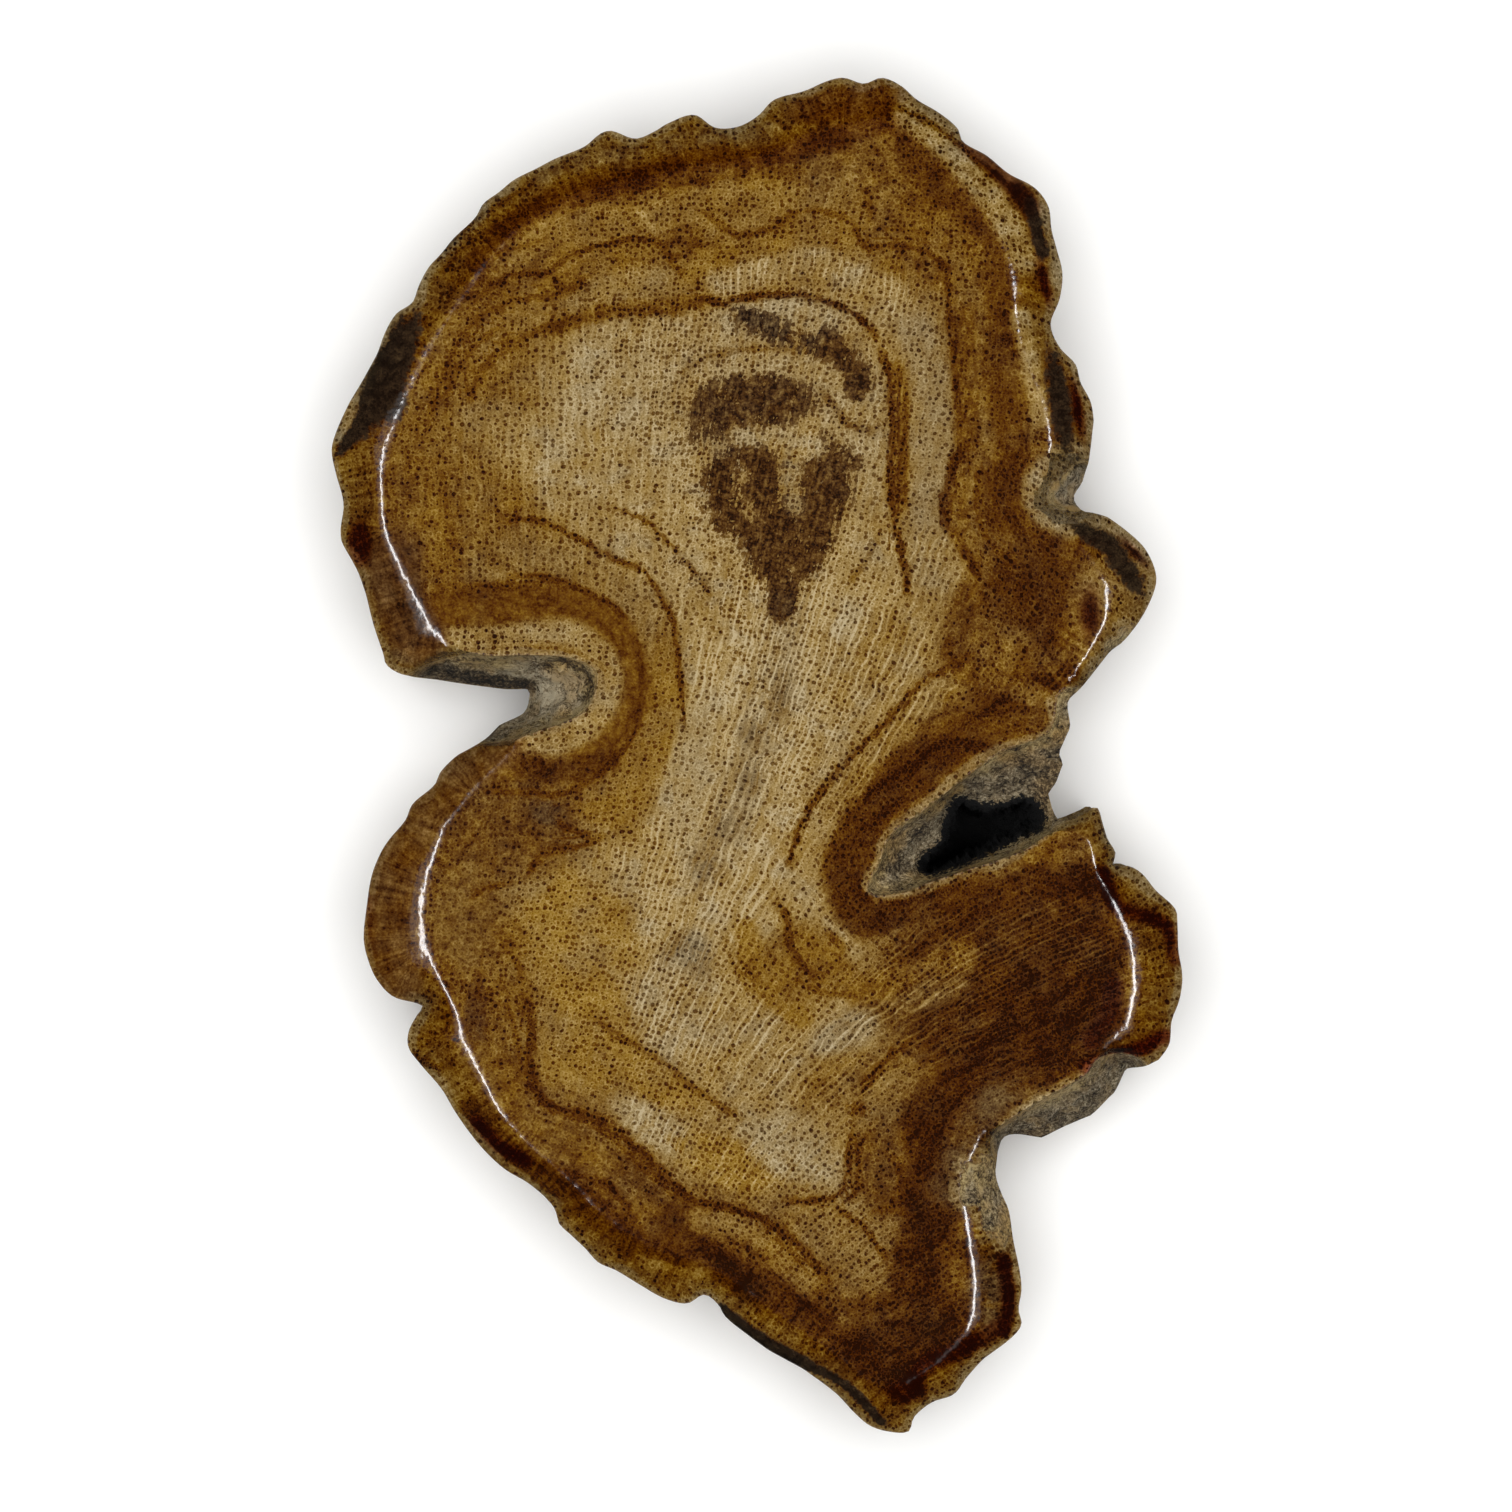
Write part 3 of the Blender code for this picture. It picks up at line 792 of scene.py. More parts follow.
GROWTH_LINES = (
    # Over the heart and down its right side
    GrowthLine(((690, 306), (702, 300), (722, 305), (740, 300), (764, 297), (800, 297), (826, 303),
                (850, 314), (868, 328), (880, 346)), 1.0),
    GrowthLine(((880, 346), (888, 375), (892, 420), (890, 470), (893, 515), (900, 545), (906, 580),
                (907, 602)), 1.1),
    GrowthLine(((905, 385), (904, 430), (903, 480), (906, 512)), 0.9, 0.7),
    GrowthLine(((675, 386), (690, 367), (720, 355), (760, 350), (800, 352)), 0.9, 0.45),
    GrowthLine(((818, 388), (834, 408), (848, 426), (880, 432)), 1.2, 0.6),
    GrowthLine(((880, 532), (868, 556), (852, 580), (844, 592)), 1.1, 0.5),
    GrowthLine(((948, 262), (947, 290), (950, 330), (955, 370), (956, 402), (960, 425)), 0.9, 0.8),
    GrowthLine(((965, 438), (954, 464), (946, 488), (942, 506), (946, 524), (954, 540)), 1.5),
    GrowthLine(((982, 456), (976, 492), (978, 520), (990, 545), (1010, 562)), 0.9, 0.8),
    GrowthLine(((958, 545), (972, 566), (978, 586)), 1.2, 0.8),
    GrowthLine(((1026, 448), (1000, 470), (994, 505), (1002, 535)), 0.8, 0.5),
    # The crown
    GrowthLine(((549, 205), (587, 192), (635, 176), (683, 166), (746, 158), (800, 148), (859, 122),
                (892, 108)), 1.2, 0.9),
    GrowthLine(((565, 214), (619, 193), (683, 186), (730, 178)), 0.8, 0.7),
    GrowthLine(((885, 90), (890, 106), (905, 112), (935, 128), (965, 150), (996, 182)), 0.9, 0.8),
    GrowthLine(((700, 212), (738, 236), (768, 232), (800, 214), (836, 216), (856, 226)), 0.9, 0.6),
    GrowthLine(((852, 222), (862, 244), (872, 250), (900, 246), (936, 260), (946, 280)), 1.1, 0.8),
    GrowthLine(((880, 232), (905, 232), (930, 238)), 0.7, 0.7),
    GrowthLine(((866, 190), (869, 210), (868, 226)), 0.8, 0.6),
    GrowthLine(((918, 200), (945, 206), (962, 210)), 0.7, 0.6),
    GrowthLine(((478, 300), (498, 282), (525, 275), (545, 276), (573, 256), (603, 247), (634, 240),
                (660, 246), (678, 270)), 0.9, 0.75),
    GrowthLine(((429, 420), (441, 385), (455, 352), (471, 328), (495, 310), (530, 300), (566, 292),
                (592, 276)), 0.9, 0.65),
    GrowthLine(((468, 410), (480, 378), (500, 354), (530, 336), (575, 322), (625, 315), (692, 312)), 1.5,
                0.6),
    GrowthLine(((446, 402), (458, 372), (478, 345), (506, 326)), 0.8, 0.5),
    GrowthLine(((442, 274), (462, 252), (491, 230), (544, 208), (603, 193), (671, 184)), 0.9, 0.7),
    GrowthLine(((432, 262), (456, 236), (480, 216), (534, 184)), 0.8, 0.6),
    GrowthLine(((446, 300), (470, 276), (500, 256), (548, 240)), 0.7, 0.45),
    GrowthLine(((664, 250), (676, 268), (690, 280)), 0.9, 0.5),
    # Round the left fold
    GrowthLine(((504, 523), (530, 520), (556, 528), (590, 546), (620, 562), (642, 570), (660, 596),
                (674, 624), (679, 660), (682, 700), (684, 730)), 0.9, 0.85),
    GrowthLine(((610, 508), (640, 518), (660, 533), (672, 548), (686, 562), (702, 582), (714, 600)), 0.9,
                0.7),
    GrowthLine(((716, 628), (722, 638)), 1.8, 0.6),
    GrowthLine(((505, 578), (545, 578), (580, 590), (612, 606), (628, 622)), 1.0, 0.9),
    GrowthLine(((470, 586), (505, 588), (550, 592)), 0.8, 0.7),
    GrowthLine(((634, 640), (640, 670), (640, 706), (632, 738), (610, 764), (590, 780)), 1.0, 0.9),
    GrowthLine(((478, 790), (520, 792), (560, 794), (600, 776)), 0.9, 0.6),
    # The lower left lobe
    GrowthLine(((556, 812), (566, 828), (590, 834), (600, 832)), 0.8, 0.7),
    GrowthLine(((526, 880), (538, 860), (556, 850), (580, 846), (610, 832)), 1.1, 0.8),
    GrowthLine(((470, 900), (486, 888), (526, 880)), 0.8, 0.5),
    GrowthLine(((500, 940), (518, 962), (522, 985)), 0.9, 0.6),
    GrowthLine(((524, 993), (530, 1010), (532, 1040), (530, 1066), (536, 1090), (556, 1108), (585, 1112),
                (613, 1127), (639, 1150), (661, 1169), (684, 1192), (702, 1202), (744, 1210), (773, 1224),
                (798, 1244), (820, 1268), (830, 1280)), 1.25),
    GrowthLine(((508, 1000), (516, 1030), (522, 1060), (522, 1078)), 0.7, 0.6),
    GrowthLine(((560, 1112), (590, 1122), (620, 1144), (648, 1170), (676, 1196)), 0.7, 0.6),
    GrowthLine(((760, 1226), (786, 1246), (808, 1272)), 0.7, 0.6),
    GrowthLine(((590, 1176), (612, 1188), (628, 1208), (642, 1230)), 1.0, 0.9),
    GrowthLine(((545, 1160), (570, 1172), (590, 1176)), 0.8, 0.6),
    GrowthLine(((590, 1012), (610, 1030), (640, 1046), (666, 1062), (690, 1084), (716, 1102),
                (742, 1118)), 1.0, 0.55),
    GrowthLine(((400, 1052), (424, 1062), (446, 1068)), 1.3, 0.9),
    # Beside the hollow
    GrowthLine(((972, 655), (948, 668), (923, 682), (891, 716), (870, 738), (852, 756), (826, 786),
                (806, 816), (794, 842), (788, 870)), 1.2, 0.9),
    GrowthLine(((935, 676), (905, 700), (884, 720)), 0.7, 0.7),
    GrowthLine(((1020, 706), (990, 714), (962, 724), (930, 750), (900, 772), (872, 792), (846, 822),
                (830, 852), (822, 880)), 1.0, 0.7),
    GrowthLine(((774, 898), (786, 916), (790, 944), (806, 968), (822, 982)), 1.3, 0.8),
    GrowthLine(((822, 926), (834, 938), (846, 950)), 1.1, 0.8),
    GrowthLine(((790, 976), (820, 990), (858, 996)), 0.8, 0.6),
    GrowthLine(((736, 946), (746, 968), (764, 986)), 0.9, 0.45),
    GrowthLine(((724, 930), (732, 960), (756, 1000)), 0.8, 0.4),
    # The heel
    GrowthLine(((920, 1034), (896, 1050), (878, 1068), (864, 1086), (857, 1100)), 1.1, 0.9),
    GrowthLine(((857, 1096), (857, 1120)), 2.4, 0.9),
    GrowthLine(((854, 1124), (848, 1150), (846, 1178), (836, 1194), (806, 1200), (780, 1198)), 0.9, 0.9),
    GrowthLine(((870, 1128), (860, 1142), (857, 1168), (856, 1188), (846, 1202)), 0.9, 0.9),
    GrowthLine(((830, 1202), (850, 1216), (868, 1232), (880, 1248), (888, 1260)), 0.9, 0.8),
    GrowthLine(((886, 1152), (896, 1160), (902, 1182), (904, 1192)), 1.3, 0.9),
    GrowthLine(((870, 1210), (890, 1208), (912, 1214)), 0.9, 0.7),
    # Pale scratches in the polish
    GrowthLine(((630, 202), (655, 232)), 0.7, -1.0),
    GrowthLine(((798, 208), (812, 226)), 0.6, -0.8),
    GrowthLine(((962, 416), (984, 406)), 0.6, -0.8),
    GrowthLine(((1060, 884), (1084, 906)), 0.6, -0.6),
    GrowthLine(((1040, 900), (1060, 916)), 0.6, -0.6),
    GrowthLine(((920, 1004), (950, 982)), 0.7, -0.6),
)


def srgb(red: float, green: float, blue: float) -> tuple[float, float, float, float]:
    """A colour given as it looks on a screen, from 0 to 255, as the shader wants it."""
    parts = [level / 255.0 for level in (red, green, blue)]
    parts = [p / 12.92 if p <= 0.04045 else ((p + 0.055) / 1.055) ** 2.4 for p in parts]
    return (*parts, 1.0)


class Sheet:
    """Adds nodes to a material or a group, and joins them."""

    def __init__(self, tree: bpy.types.NodeTree) -> None:
        """Clears the tree."""
        self.tree = tree
        tree.nodes.clear()

    def feed(self, slot: Socket, value: object) -> None:
        """Links a socket to a slot, or sets the slot's own value."""
        if isinstance(value, bpy.types.NodeSocket):
            self.tree.links.new(value, slot)
        else:
            slot.default_value = value

    def add(self, kind: str, inputs: dict | None = None, **settings: object) -> bpy.types.Node:
        """Adds a node.

        Args:
            kind: The node's type, without the word ShaderNode.
            inputs: Values or sockets for its inputs, by name or number.
            **settings: Its other settings.

        Returns:
            The node.
        """
        node = self.tree.nodes.new("ShaderNode" + kind)
        for name, value in settings.items():
            setattr(node, name, value)
        for slot, value in (inputs or {}).items():
            self.feed(node.inputs[slot], value)
        return node

    def calc(self, operation: str, *values: object) -> Socket:
        """A sum, product or other operation on numbers."""
        return self.add("Math", dict(enumerate(values)), operation=operation).outputs[0]

    def plus(self, first: object, second: object, times: object = 1.0) -> Socket:
        """The first number plus the second times a third."""
        return self.calc("MULTIPLY_ADD", second, times, first)

    def stir(self, base: object, by: object, reach: object = 1.0) -> Socket:
        """A number moved by another one's gap from one half, times a reach."""
        return self.plus(base, self.plus(-0.5, by), reach)

    def times(self, first: object, second: object) -> Socket:
        """The product of two numbers."""
        return self.calc("MULTIPLY", first, second)

    def blend(self, operation: str, first: object, second: object) -> Socket:
        """A sum, product or other operation on two vectors, part by part."""
        return self.add("VectorMath", {0: first, 1: second}, operation=operation).outputs[0]

    def shift(self, vector: object, by: object, reach: float) -> Socket:
        """A vector moved by another one's gap from one half, times a reach."""
        centred = self.blend("SUBTRACT", by, (0.5, 0.5, 0.5))
        return self.blend("ADD", vector, self.grow(centred, (reach, reach, reach)))

    def grow(self, vector: object, factors: object) -> Socket:
        """A vector with each part multiplied by its own factor."""
        return self.blend("MULTIPLY", vector, factors)

    def join(self, *parts: object) -> Socket:
        """A vector of two or three numbers."""
        return self.add("CombineXYZ", dict(enumerate(parts))).outputs[0]

    def finish(self, shader: bpy.types.Node, end: str = "OutputMaterial") -> None:
        """Joins a shader to the tree's output."""
        self.tree.links.new(shader.outputs[0], self.add(end).inputs[0])

    def steps(self, value: object, low: float, high: float, start: float = 0.0, end: float = 1.0) -> Socket:
        """A smooth change from start at low to end at high."""
        inputs = {"Value": value, 1: low, 2: high, 3: start, 4: end}
        return self.add("MapRange", inputs, interpolation_type="SMOOTHSTEP").outputs[0]

    def line(self, value: object, low: float, high: float, start: float = 0.0, end: float = 1.0) -> Socket:
        """A straight change from start at low to end at high."""
        return self.add("MapRange", {"Value": value, 1: low, 2: high, 3: start, 4: end}).outputs[0]

    def noise(self, place: object, scale: float, detail: float = 2.0, rough: float = 0.5) -> Socket:
        """The number of a noise texture."""
        inputs = {"Vector": place, "Scale": scale, "Detail": detail, "Roughness": rough}
        return self.add("TexNoise", inputs).outputs[0]

    def dots(self, place: object, scale: float, spread: float = 1.0) -> bpy.types.Node:
        """A flat cell texture."""
        inputs = {"Vector": place, "Scale": scale, "Randomness": spread}
        return self.add("TexVoronoi", inputs, voronoi_dimensions="2D")

    def mix(self, share: object, first: object, second: object, way: str = "MIX") -> Socket:
        """A mix of two colours."""
        inputs = {0: share, 6: first, 7: second}
        return self.add("Mix", inputs, data_type="RGBA", blend_type=way).outputs[2]

    def ramp(self, value: object, stops: tuple) -> Socket:
        """A colour ramp through stops of place and colour."""
        node = self.add("ValToRGB", {0: value})
        marks = node.color_ramp.elements
        while len(marks) < len(stops):
            marks.new(0.5)
        for mark, (place, colour) in zip(marks, stops):
            mark.position = place
            mark.color = srgb(*colour)
        return node.outputs[0]

    def read(self, name: str) -> list[Socket]:
        """The three numbers kept under a name at each point of the skin."""
        vector = self.add("Attribute", attribute_name=name).outputs["Vector"]
        return list(self.add("SeparateXYZ", {0: vector}).outputs)


class Effect:
    """A shader node group that is built once and placed in more than one finish."""

    name = ""
    inputs: dict[str, str] = {}
    outputs: dict[str, str] = {}

    def draw(self, sheet: Sheet, given: dict[str, Socket]) -> dict[str, Socket]:
        """Draws the effect's nodes and returns its outputs by name."""
        raise NotImplementedError

    def tree(self) -> bpy.types.NodeTree:
        """The effect's node group, built the first time that it is asked for."""
        found = bpy.data.node_groups.get(self.name)
        if found:
            return found
        tree = bpy.data.node_groups.new(self.name, "ShaderNodeTree")
        sheet = Sheet(tree)
        for way, ports in (("INPUT", self.inputs), ("OUTPUT", self.outputs)):
            for name, kind in ports.items():
                tree.interface.new_socket(name, in_out=way, socket_type="NodeSocket" + kind)
        entry = tree.nodes.new("NodeGroupInput")
        leave = tree.nodes.new("NodeGroupOutput")
        given = {name: entry.outputs[name] for name in self.inputs}
        for name, socket in self.draw(sheet, given).items():
            tree.links.new(socket, leave.inputs[name])
        return tree

    def place(self, sheet: Sheet, **values: object) -> dict[str, Socket]:
        """Places the effect in a material or in another effect.

        Args:
            sheet: Where it goes.
            **values: Values or sockets for its inputs.

        Returns:
            Its outputs by name.
        """
        node = sheet.add("Group", node_tree=self.tree())
        for name, value in values.items():
            sheet.feed(node.inputs[name], value)
        return {name: node.outputs[name] for name in self.outputs}


class RayFiles(Effect):
    """Pale ray threads with a file of dark vessel pores between each two of them.

    The coordinate across the rays runs slower where they fan out. It is doubled there, again and again,
    so that the files stay about as wide, and the pores are measured in millimetres to keep them round.
    """

    name = "ray files"
    inputs = {"Place": "Vector", "Across": "Float", "Along": "Float", "Fan": "Float", "Pull": "Float"}
    outputs = {"Threads": "Float", "Fibres": "Float", "Pores": "Float", "Small": "Float", "Halo": "Float"}
    file_width = 0.58
    pore_step = 0.47
    spread = 0.66

    def draw(self, sheet: Sheet, given: dict[str, Socket]) -> dict[str, Socket]:
        """Draws one pore a cell of a loose grid, and a thread along each cell's side."""
        sway = sheet.noise(given["Place"], 0.45, 2.0)
        fanned = sheet.calc("LOGARITHM", given["Fan"], 2.0)
        level = sheet.calc("FLOOR", sheet.plus(sheet.plus(0.1, sway, 0.8), fanned, -1.0))
        doubling = sheet.calc("POWER", 2.0, level)
        gain = sheet.times(given["Fan"], doubling)
        across = sheet.times(sheet.times(given["Across"], doubling), 1.0 / self.file_width)
        across = sheet.plus(across, sway, 1.6)
        along = sheet.times(given["Along"], 1.0 / self.pore_step)
        spot = sheet.join(across, along)
        cells = sheet.dots(spot, 1.0, self.spread)
        away = sheet.blend("SUBTRACT", cells.outputs["Position"], spot)
        wide = sheet.calc("DIVIDE", self.file_width, gain)
        tall = sheet.calc("DIVIDE", self.pore_step, given["Pull"])
        away = sheet.grow(away, sheet.join(wide, tall))
        reach = sheet.add("VectorMath", {0: away}, operation="LENGTH").outputs["Value"]
        kind = sheet.add("SeparateColor", {0: cells.outputs["Color"]}).outputs
        gap = sheet.calc("SUBTRACT", reach, sheet.line(kind[0], 0.0, 1.0, 0.070, 0.190))
        streak = sheet.join(sheet.times(across, 1.3), sheet.times(along, 0.06))
        fibres = sheet.noise(streak, 1.0, 3.0, 0.6)
        turn = sheet.calc("FRACT", sheet.plus(across, -self.spread / 2))
        side = sheet.calc("ABSOLUTE", sheet.plus(turn, -0.5))
        threads = sheet.times(sheet.steps(side, 0.24, 0.06), sheet.steps(fibres, 0.34, 0.58))
        narrow = sheet.dots(given["Place"], 4.3, 0.9).outputs["Distance"]
        return {
            "Threads": threads,
            "Fibres": fibres,
            "Pores": sheet.times(sheet.steps(gap, 0.055, -0.035), sheet.line(kind[1], 0.0, 1.0, 0.5, 1.0)),
            "Small": sheet.steps(narrow, 0.36, 0.14),
            "Halo": sheet.steps(gap, 0.20, -0.02),
        }


class GrowthRings(Effect):
    """Streaks, bands and thin lines that follow the bark."""

    name = "growth rings"
    inputs = {"Place": "Vector", "Ring": "Float"}
    outputs = {"Bands": "Float", "Streaks": "Float", "Lines": "Float"}

    def draw(self, sheet: Sheet, given: dict[str, Socket]) -> dict[str, Socket]:
        """Draws noise that changes fast across the rings and slowly along them."""
        sway = sheet.noise(given["Place"], 0.22, 2.0)
        ring = sheet.plus(given["Ring"], sway, 2.2)
        parts = sheet.add("SeparateXYZ", {0: given["Place"]}).outputs[:2]
        bands = sheet.join(sheet.times(ring, 0.62), *(sheet.times(part, 0.13) for part in parts))
        fine = sheet.join(sheet.times(ring, 2.8), *(sheet.times(part, 0.30) for part in parts))
        tremble = sheet.noise(given["Place"], 0.8, 1.0)
        phase = sheet.plus(sheet.times(ring, 0.62), tremble, 0.7)
        away = sheet.calc("ABSOLUTE", sheet.plus(-0.5, sheet.calc("FRACT", phase)))
        shown = sheet.steps(sheet.noise(given["Place"], 0.21, 1.0), 0.44, 0.64)
        return {
            "Bands": sheet.noise(bands, 1.0, 3.0, 0.55),
            "Streaks": sheet.noise(fine, 1.0, 3.0, 0.6),
            "Lines": sheet.times(sheet.steps(away, 0.13, 0.02), shown),
        }


class MineralTint(Effect):
    """The stone's colour for a tone, from dark brown over amber to cream."""

    name = "mineral tint"
    inputs = {"Tone": "Float", "Gold": "Float", "Grey": "Float", "Red": "Float"}
    outputs = {"Color": "Color"}
    pale = (
        (0.00, (34, 20, 8)), (0.12, (52, 32, 12)), (0.25, (72, 49, 20)), (0.40, (96, 70, 35)),
        (0.55, (119, 93, 50)), (0.70, (142, 117, 73)), (0.85, (165, 142, 96)), (1.00, (191, 170, 127)),
    )
    amber = (
        (0.00, (34, 10, 0)), (0.12, (57, 22, 0)), (0.25, (82, 42, 1)), (0.40, (104, 65, 7)),
        (0.55, (128, 92, 20)), (0.70, (151, 117, 42)), (0.85, (172, 141, 72)), (1.00, (191, 164, 112)),
    )

    smoke = (
        (0.00, (20, 15, 10)), (0.15, (44, 37, 26)), (0.30, (69, 59, 42)), (0.50, (98, 86, 62)),
        (0.70, (130, 115, 87)), (0.85, (154, 139, 109)), (1.00, (182, 168, 138)),
    )

    def draw(self, sheet: Sheet, given: dict[str, Socket]) -> dict[str, Socket]:
        """Mixes the pale, the amber and the smoky ramps, and reddens the result."""
        pale = sheet.ramp(given["Tone"], self.pale)
        amber = sheet.ramp(given["Tone"], self.amber)
        smoke = sheet.ramp(given["Tone"], self.smoke)
        colour = sheet.mix(given["Gold"], pale, amber)
        colour = sheet.mix(given["Grey"], colour, smoke)
        maroon = sheet.mix(1.0, colour, srgb(216, 138, 118), "MULTIPLY")
        return {"Color": sheet.mix(given["Red"], colour, maroon)}


class FossilWood(Effect):
    """The mineral colours of the wood, with its rings, rays, pores, lines and heart."""

    name = "fossil wood"
    inputs = {
        "Place": "Vector", "Ring": "Float", "Side": "Float", "Ink": "Float", "Tone": "Float",
        "Gold": "Float", "Grey": "Float", "Red": "Float", "Pores": "Float", "Threads": "Float",
        "Heart": "Float", "Agate": "Float", "Station": "Float", "Across": "Float", "Along": "Float",
        "Fan": "Float", "Pull": "Float",
    }
    outputs = {"Color": "Color"}

    def draw(self, sheet: Sheet, given: dict[str, Socket]) -> dict[str, Socket]:
        """Adds up the tone of every mark, then tints it."""
        flat = sheet.grow(given["Place"], (1.0, 1.0, 0.0))
        wander = sheet.add("TexNoise", {"Vector": flat, "Scale": 0.9, "Detail": 1.0}).outputs
        loose = sheet.shift(flat, wander["Color"], 0.9)
        rings = GrowthRings().place(sheet, Place=loose, Ring=given["Ring"])
        files = {name: given[name] for name in ("Across", "Along", "Fan", "Pull")}
        rays = RayFiles().place(sheet, Place=flat, **files)

        # Clouds of several sizes, and streaks that run over the rolled edge
        blots = sheet.noise(loose, 0.42, 3.0, 0.62)
        small_blots = sheet.noise(loose, 1.1, 2.0, 0.6)
        specks = sheet.noise(flat, 2.4, 3.0, 0.65)
        grit = sheet.noise(flat, 5.2, 1.0, 0.6)
        near_bark = sheet.steps(given["Ring"], 20.0, 4.0, 0.25, 1.0)
        not_pale = sheet.steps(given["Tone"], 0.60, 0.46)
        brown = sheet.times(not_pale, sheet.steps(given["Tone"], 0.22, 0.36))
        over_roll = sheet.join(sheet.times(given["Station"], 2.4), sheet.times(given["Ring"], 0.12))
        combed = sheet.noise(over_roll, 1.0, 1.0, 0.6)
        clouds = (
            (rings["Bands"], sheet.times(near_bark, 0.36)),
            (rings["Streaks"], sheet.times(near_bark, 0.30)),
            (blots, 0.34),
            (specks, 0.50),
            (small_blots, sheet.times(brown, 0.55)),
            (grit, 0.42),
            (combed, sheet.steps(given["Ring"], 6.0, 3.5, 0.0, 0.60)),
        )
        tone = given["Tone"]
        for cloud, reach in clouds:
            tone = sheet.stir(tone, cloud, reach)
        tone = sheet.plus(tone, rings["Lines"], sheet.times(near_bark, -0.10))
        hue = sheet.noise(loose, 0.32, 3.0)
        gold = sheet.stir(given["Gold"], hue, 1.1)

        # Ray threads, fibres and pores with their pale walls
        share = sheet.times(given["Threads"], given["Threads"])
        fibres = sheet.times(sheet.plus(-0.5, rays["Fibres"]), given["Threads"])
        tone = sheet.plus(tone, fibres, 0.44)
        tone = sheet.plus(tone, sheet.times(rays["Threads"], share), 0.26)
        uneven = sheet.noise(flat, 0.55, 3.0, 0.65)
        net = sheet.times(sheet.steps(uneven, 0.42, 0.60, 0.06, 0.22), given["Pores"])
        walls = sheet.times(rays["Halo"], net)
        tone = sheet.plus(sheet.plus(tone, -0.008), walls)
        gold = sheet.plus(sheet.plus(gold, 0.03), walls, -0.5)
        gold = sheet.plus(gold, fibres, -1.2)
        pores = sheet.times(rays["Pores"], given["Pores"])
        depth = sheet.line(given["Tone"], 0.25, 0.75, 0.32, 0.66)
        tone = sheet.calc("SUBTRACT", tone, sheet.times(pores, depth))
        gold = sheet.plus(gold, pores, 0.25)
        small = sheet.times(sheet.times(rays["Small"], given["Pores"]), sheet.times(depth, 0.26))
        tone = sheet.calc("SUBTRACT", tone, small)

        # Growth lines: an uneven dark core with a soft golden border
        thick = sheet.noise(flat, 1.3, 2.0, 0.6)
        width = sheet.line(uneven, 0.30, 0.66, 0.04, 0.27)
        away = sheet.calc("ABSOLUTE", sheet.stir(given["Side"], thick, 0.85))
        core = sheet.times(sheet.steps(sheet.calc("SUBTRACT", away, width), 0.13, -0.04), given["Ink"])
        core = sheet.times(core, sheet.steps(uneven, 0.30, 0.52, 0.50, 1.0))
        border = sheet.times(sheet.steps(away, 0.62, 0.05), sheet.calc("MAXIMUM", given["Ink"], 0.0))
        border = sheet.times(border, sheet.steps(wander[0], 0.34, 0.62, 0.15, 0.60))
        dark_ink = sheet.calc("MAXIMUM", core, border)
        tone = sheet.plus(tone, sheet.times(sheet.calc("MINIMUM", core, 0.0), -0.22))
        darker = sheet.calc("MINIMUM", sheet.plus(0.20, given["Tone"], -1.0), -0.08)
        tone = sheet.plus(tone, darker, sheet.calc("MAXIMUM", dark_ink, 0.0))
        gold = sheet.plus(gold, dark_ink, 0.8)

        # The dark heart, frayed along the fibres
        near_heart = sheet.steps(given["Heart"], 0.0, 0.3)
        edge = given["Heart"]
        for cloud, reach in ((blots, 1.7), (specks, 2.0), (rays["Fibres"], 2.4)):
            edge = sheet.stir(edge, cloud, sheet.times(near_heart, reach))
        in_heart = sheet.steps(edge, 0.36, 0.66)
        heart = sheet.plus(sheet.stir(0.22, specks, 1.0), pores, -0.12)
        for cloud, reach in ((small_blots, 0.9), (grit, 0.6), (rays["Fibres"], 0.9)):
            heart = sheet.stir(heart, cloud, reach)
        tone = sheet.plus(tone, sheet.calc("SUBTRACT", heart, tone), in_heart)
        gold = sheet.plus(gold, sheet.calc("SUBTRACT", 0.40, gold), in_heart)

        # Glassy lenses
        near_agate = sheet.steps(given["Agate"], 0.0, 0.3)
        edge = given["Agate"]
        for cloud, reach in ((specks, 1.1), (small_blots, 1.2)):
            edge = sheet.stir(edge, cloud, sheet.times(near_agate, reach))
        in_agate = sheet.steps(edge, 0.22, 0.74)
        agate = 0.08
        for cloud, reach in ((small_blots, 0.5), (specks, 0.3), (grit, 0.3)):
            agate = sheet.stir(agate, cloud, reach)
        tone = sheet.plus(tone, sheet.calc("SUBTRACT", agate, tone), in_agate)

        # Pale patches and grey smudges
        light = sheet.steps(given["Tone"], 0.58, 0.76, 0.0, 0.30)
        pale_patch = sheet.times(sheet.steps(hue, 0.50, 0.34), light)
        tone = sheet.plus(tone, pale_patch, 0.20)
        smudged = sheet.times(given["Grey"], sheet.steps(sheet.plus(blots, fibres, 0.8), 0.36, 0.60))
        grey = sheet.calc("MAXIMUM", smudged, sheet.times(in_agate, 0.75))
        outside = sheet.line(in_heart, 0.0, 1.0, 1.0, 0.0)
        grey = sheet.calc("MAXIMUM", grey, sheet.times(pale_patch, outside))
        tint = MineralTint().place(sheet, Tone=tone, Gold=gold, Grey=grey, Red=given["Red"])
        return {"Color": tint["Color"]}


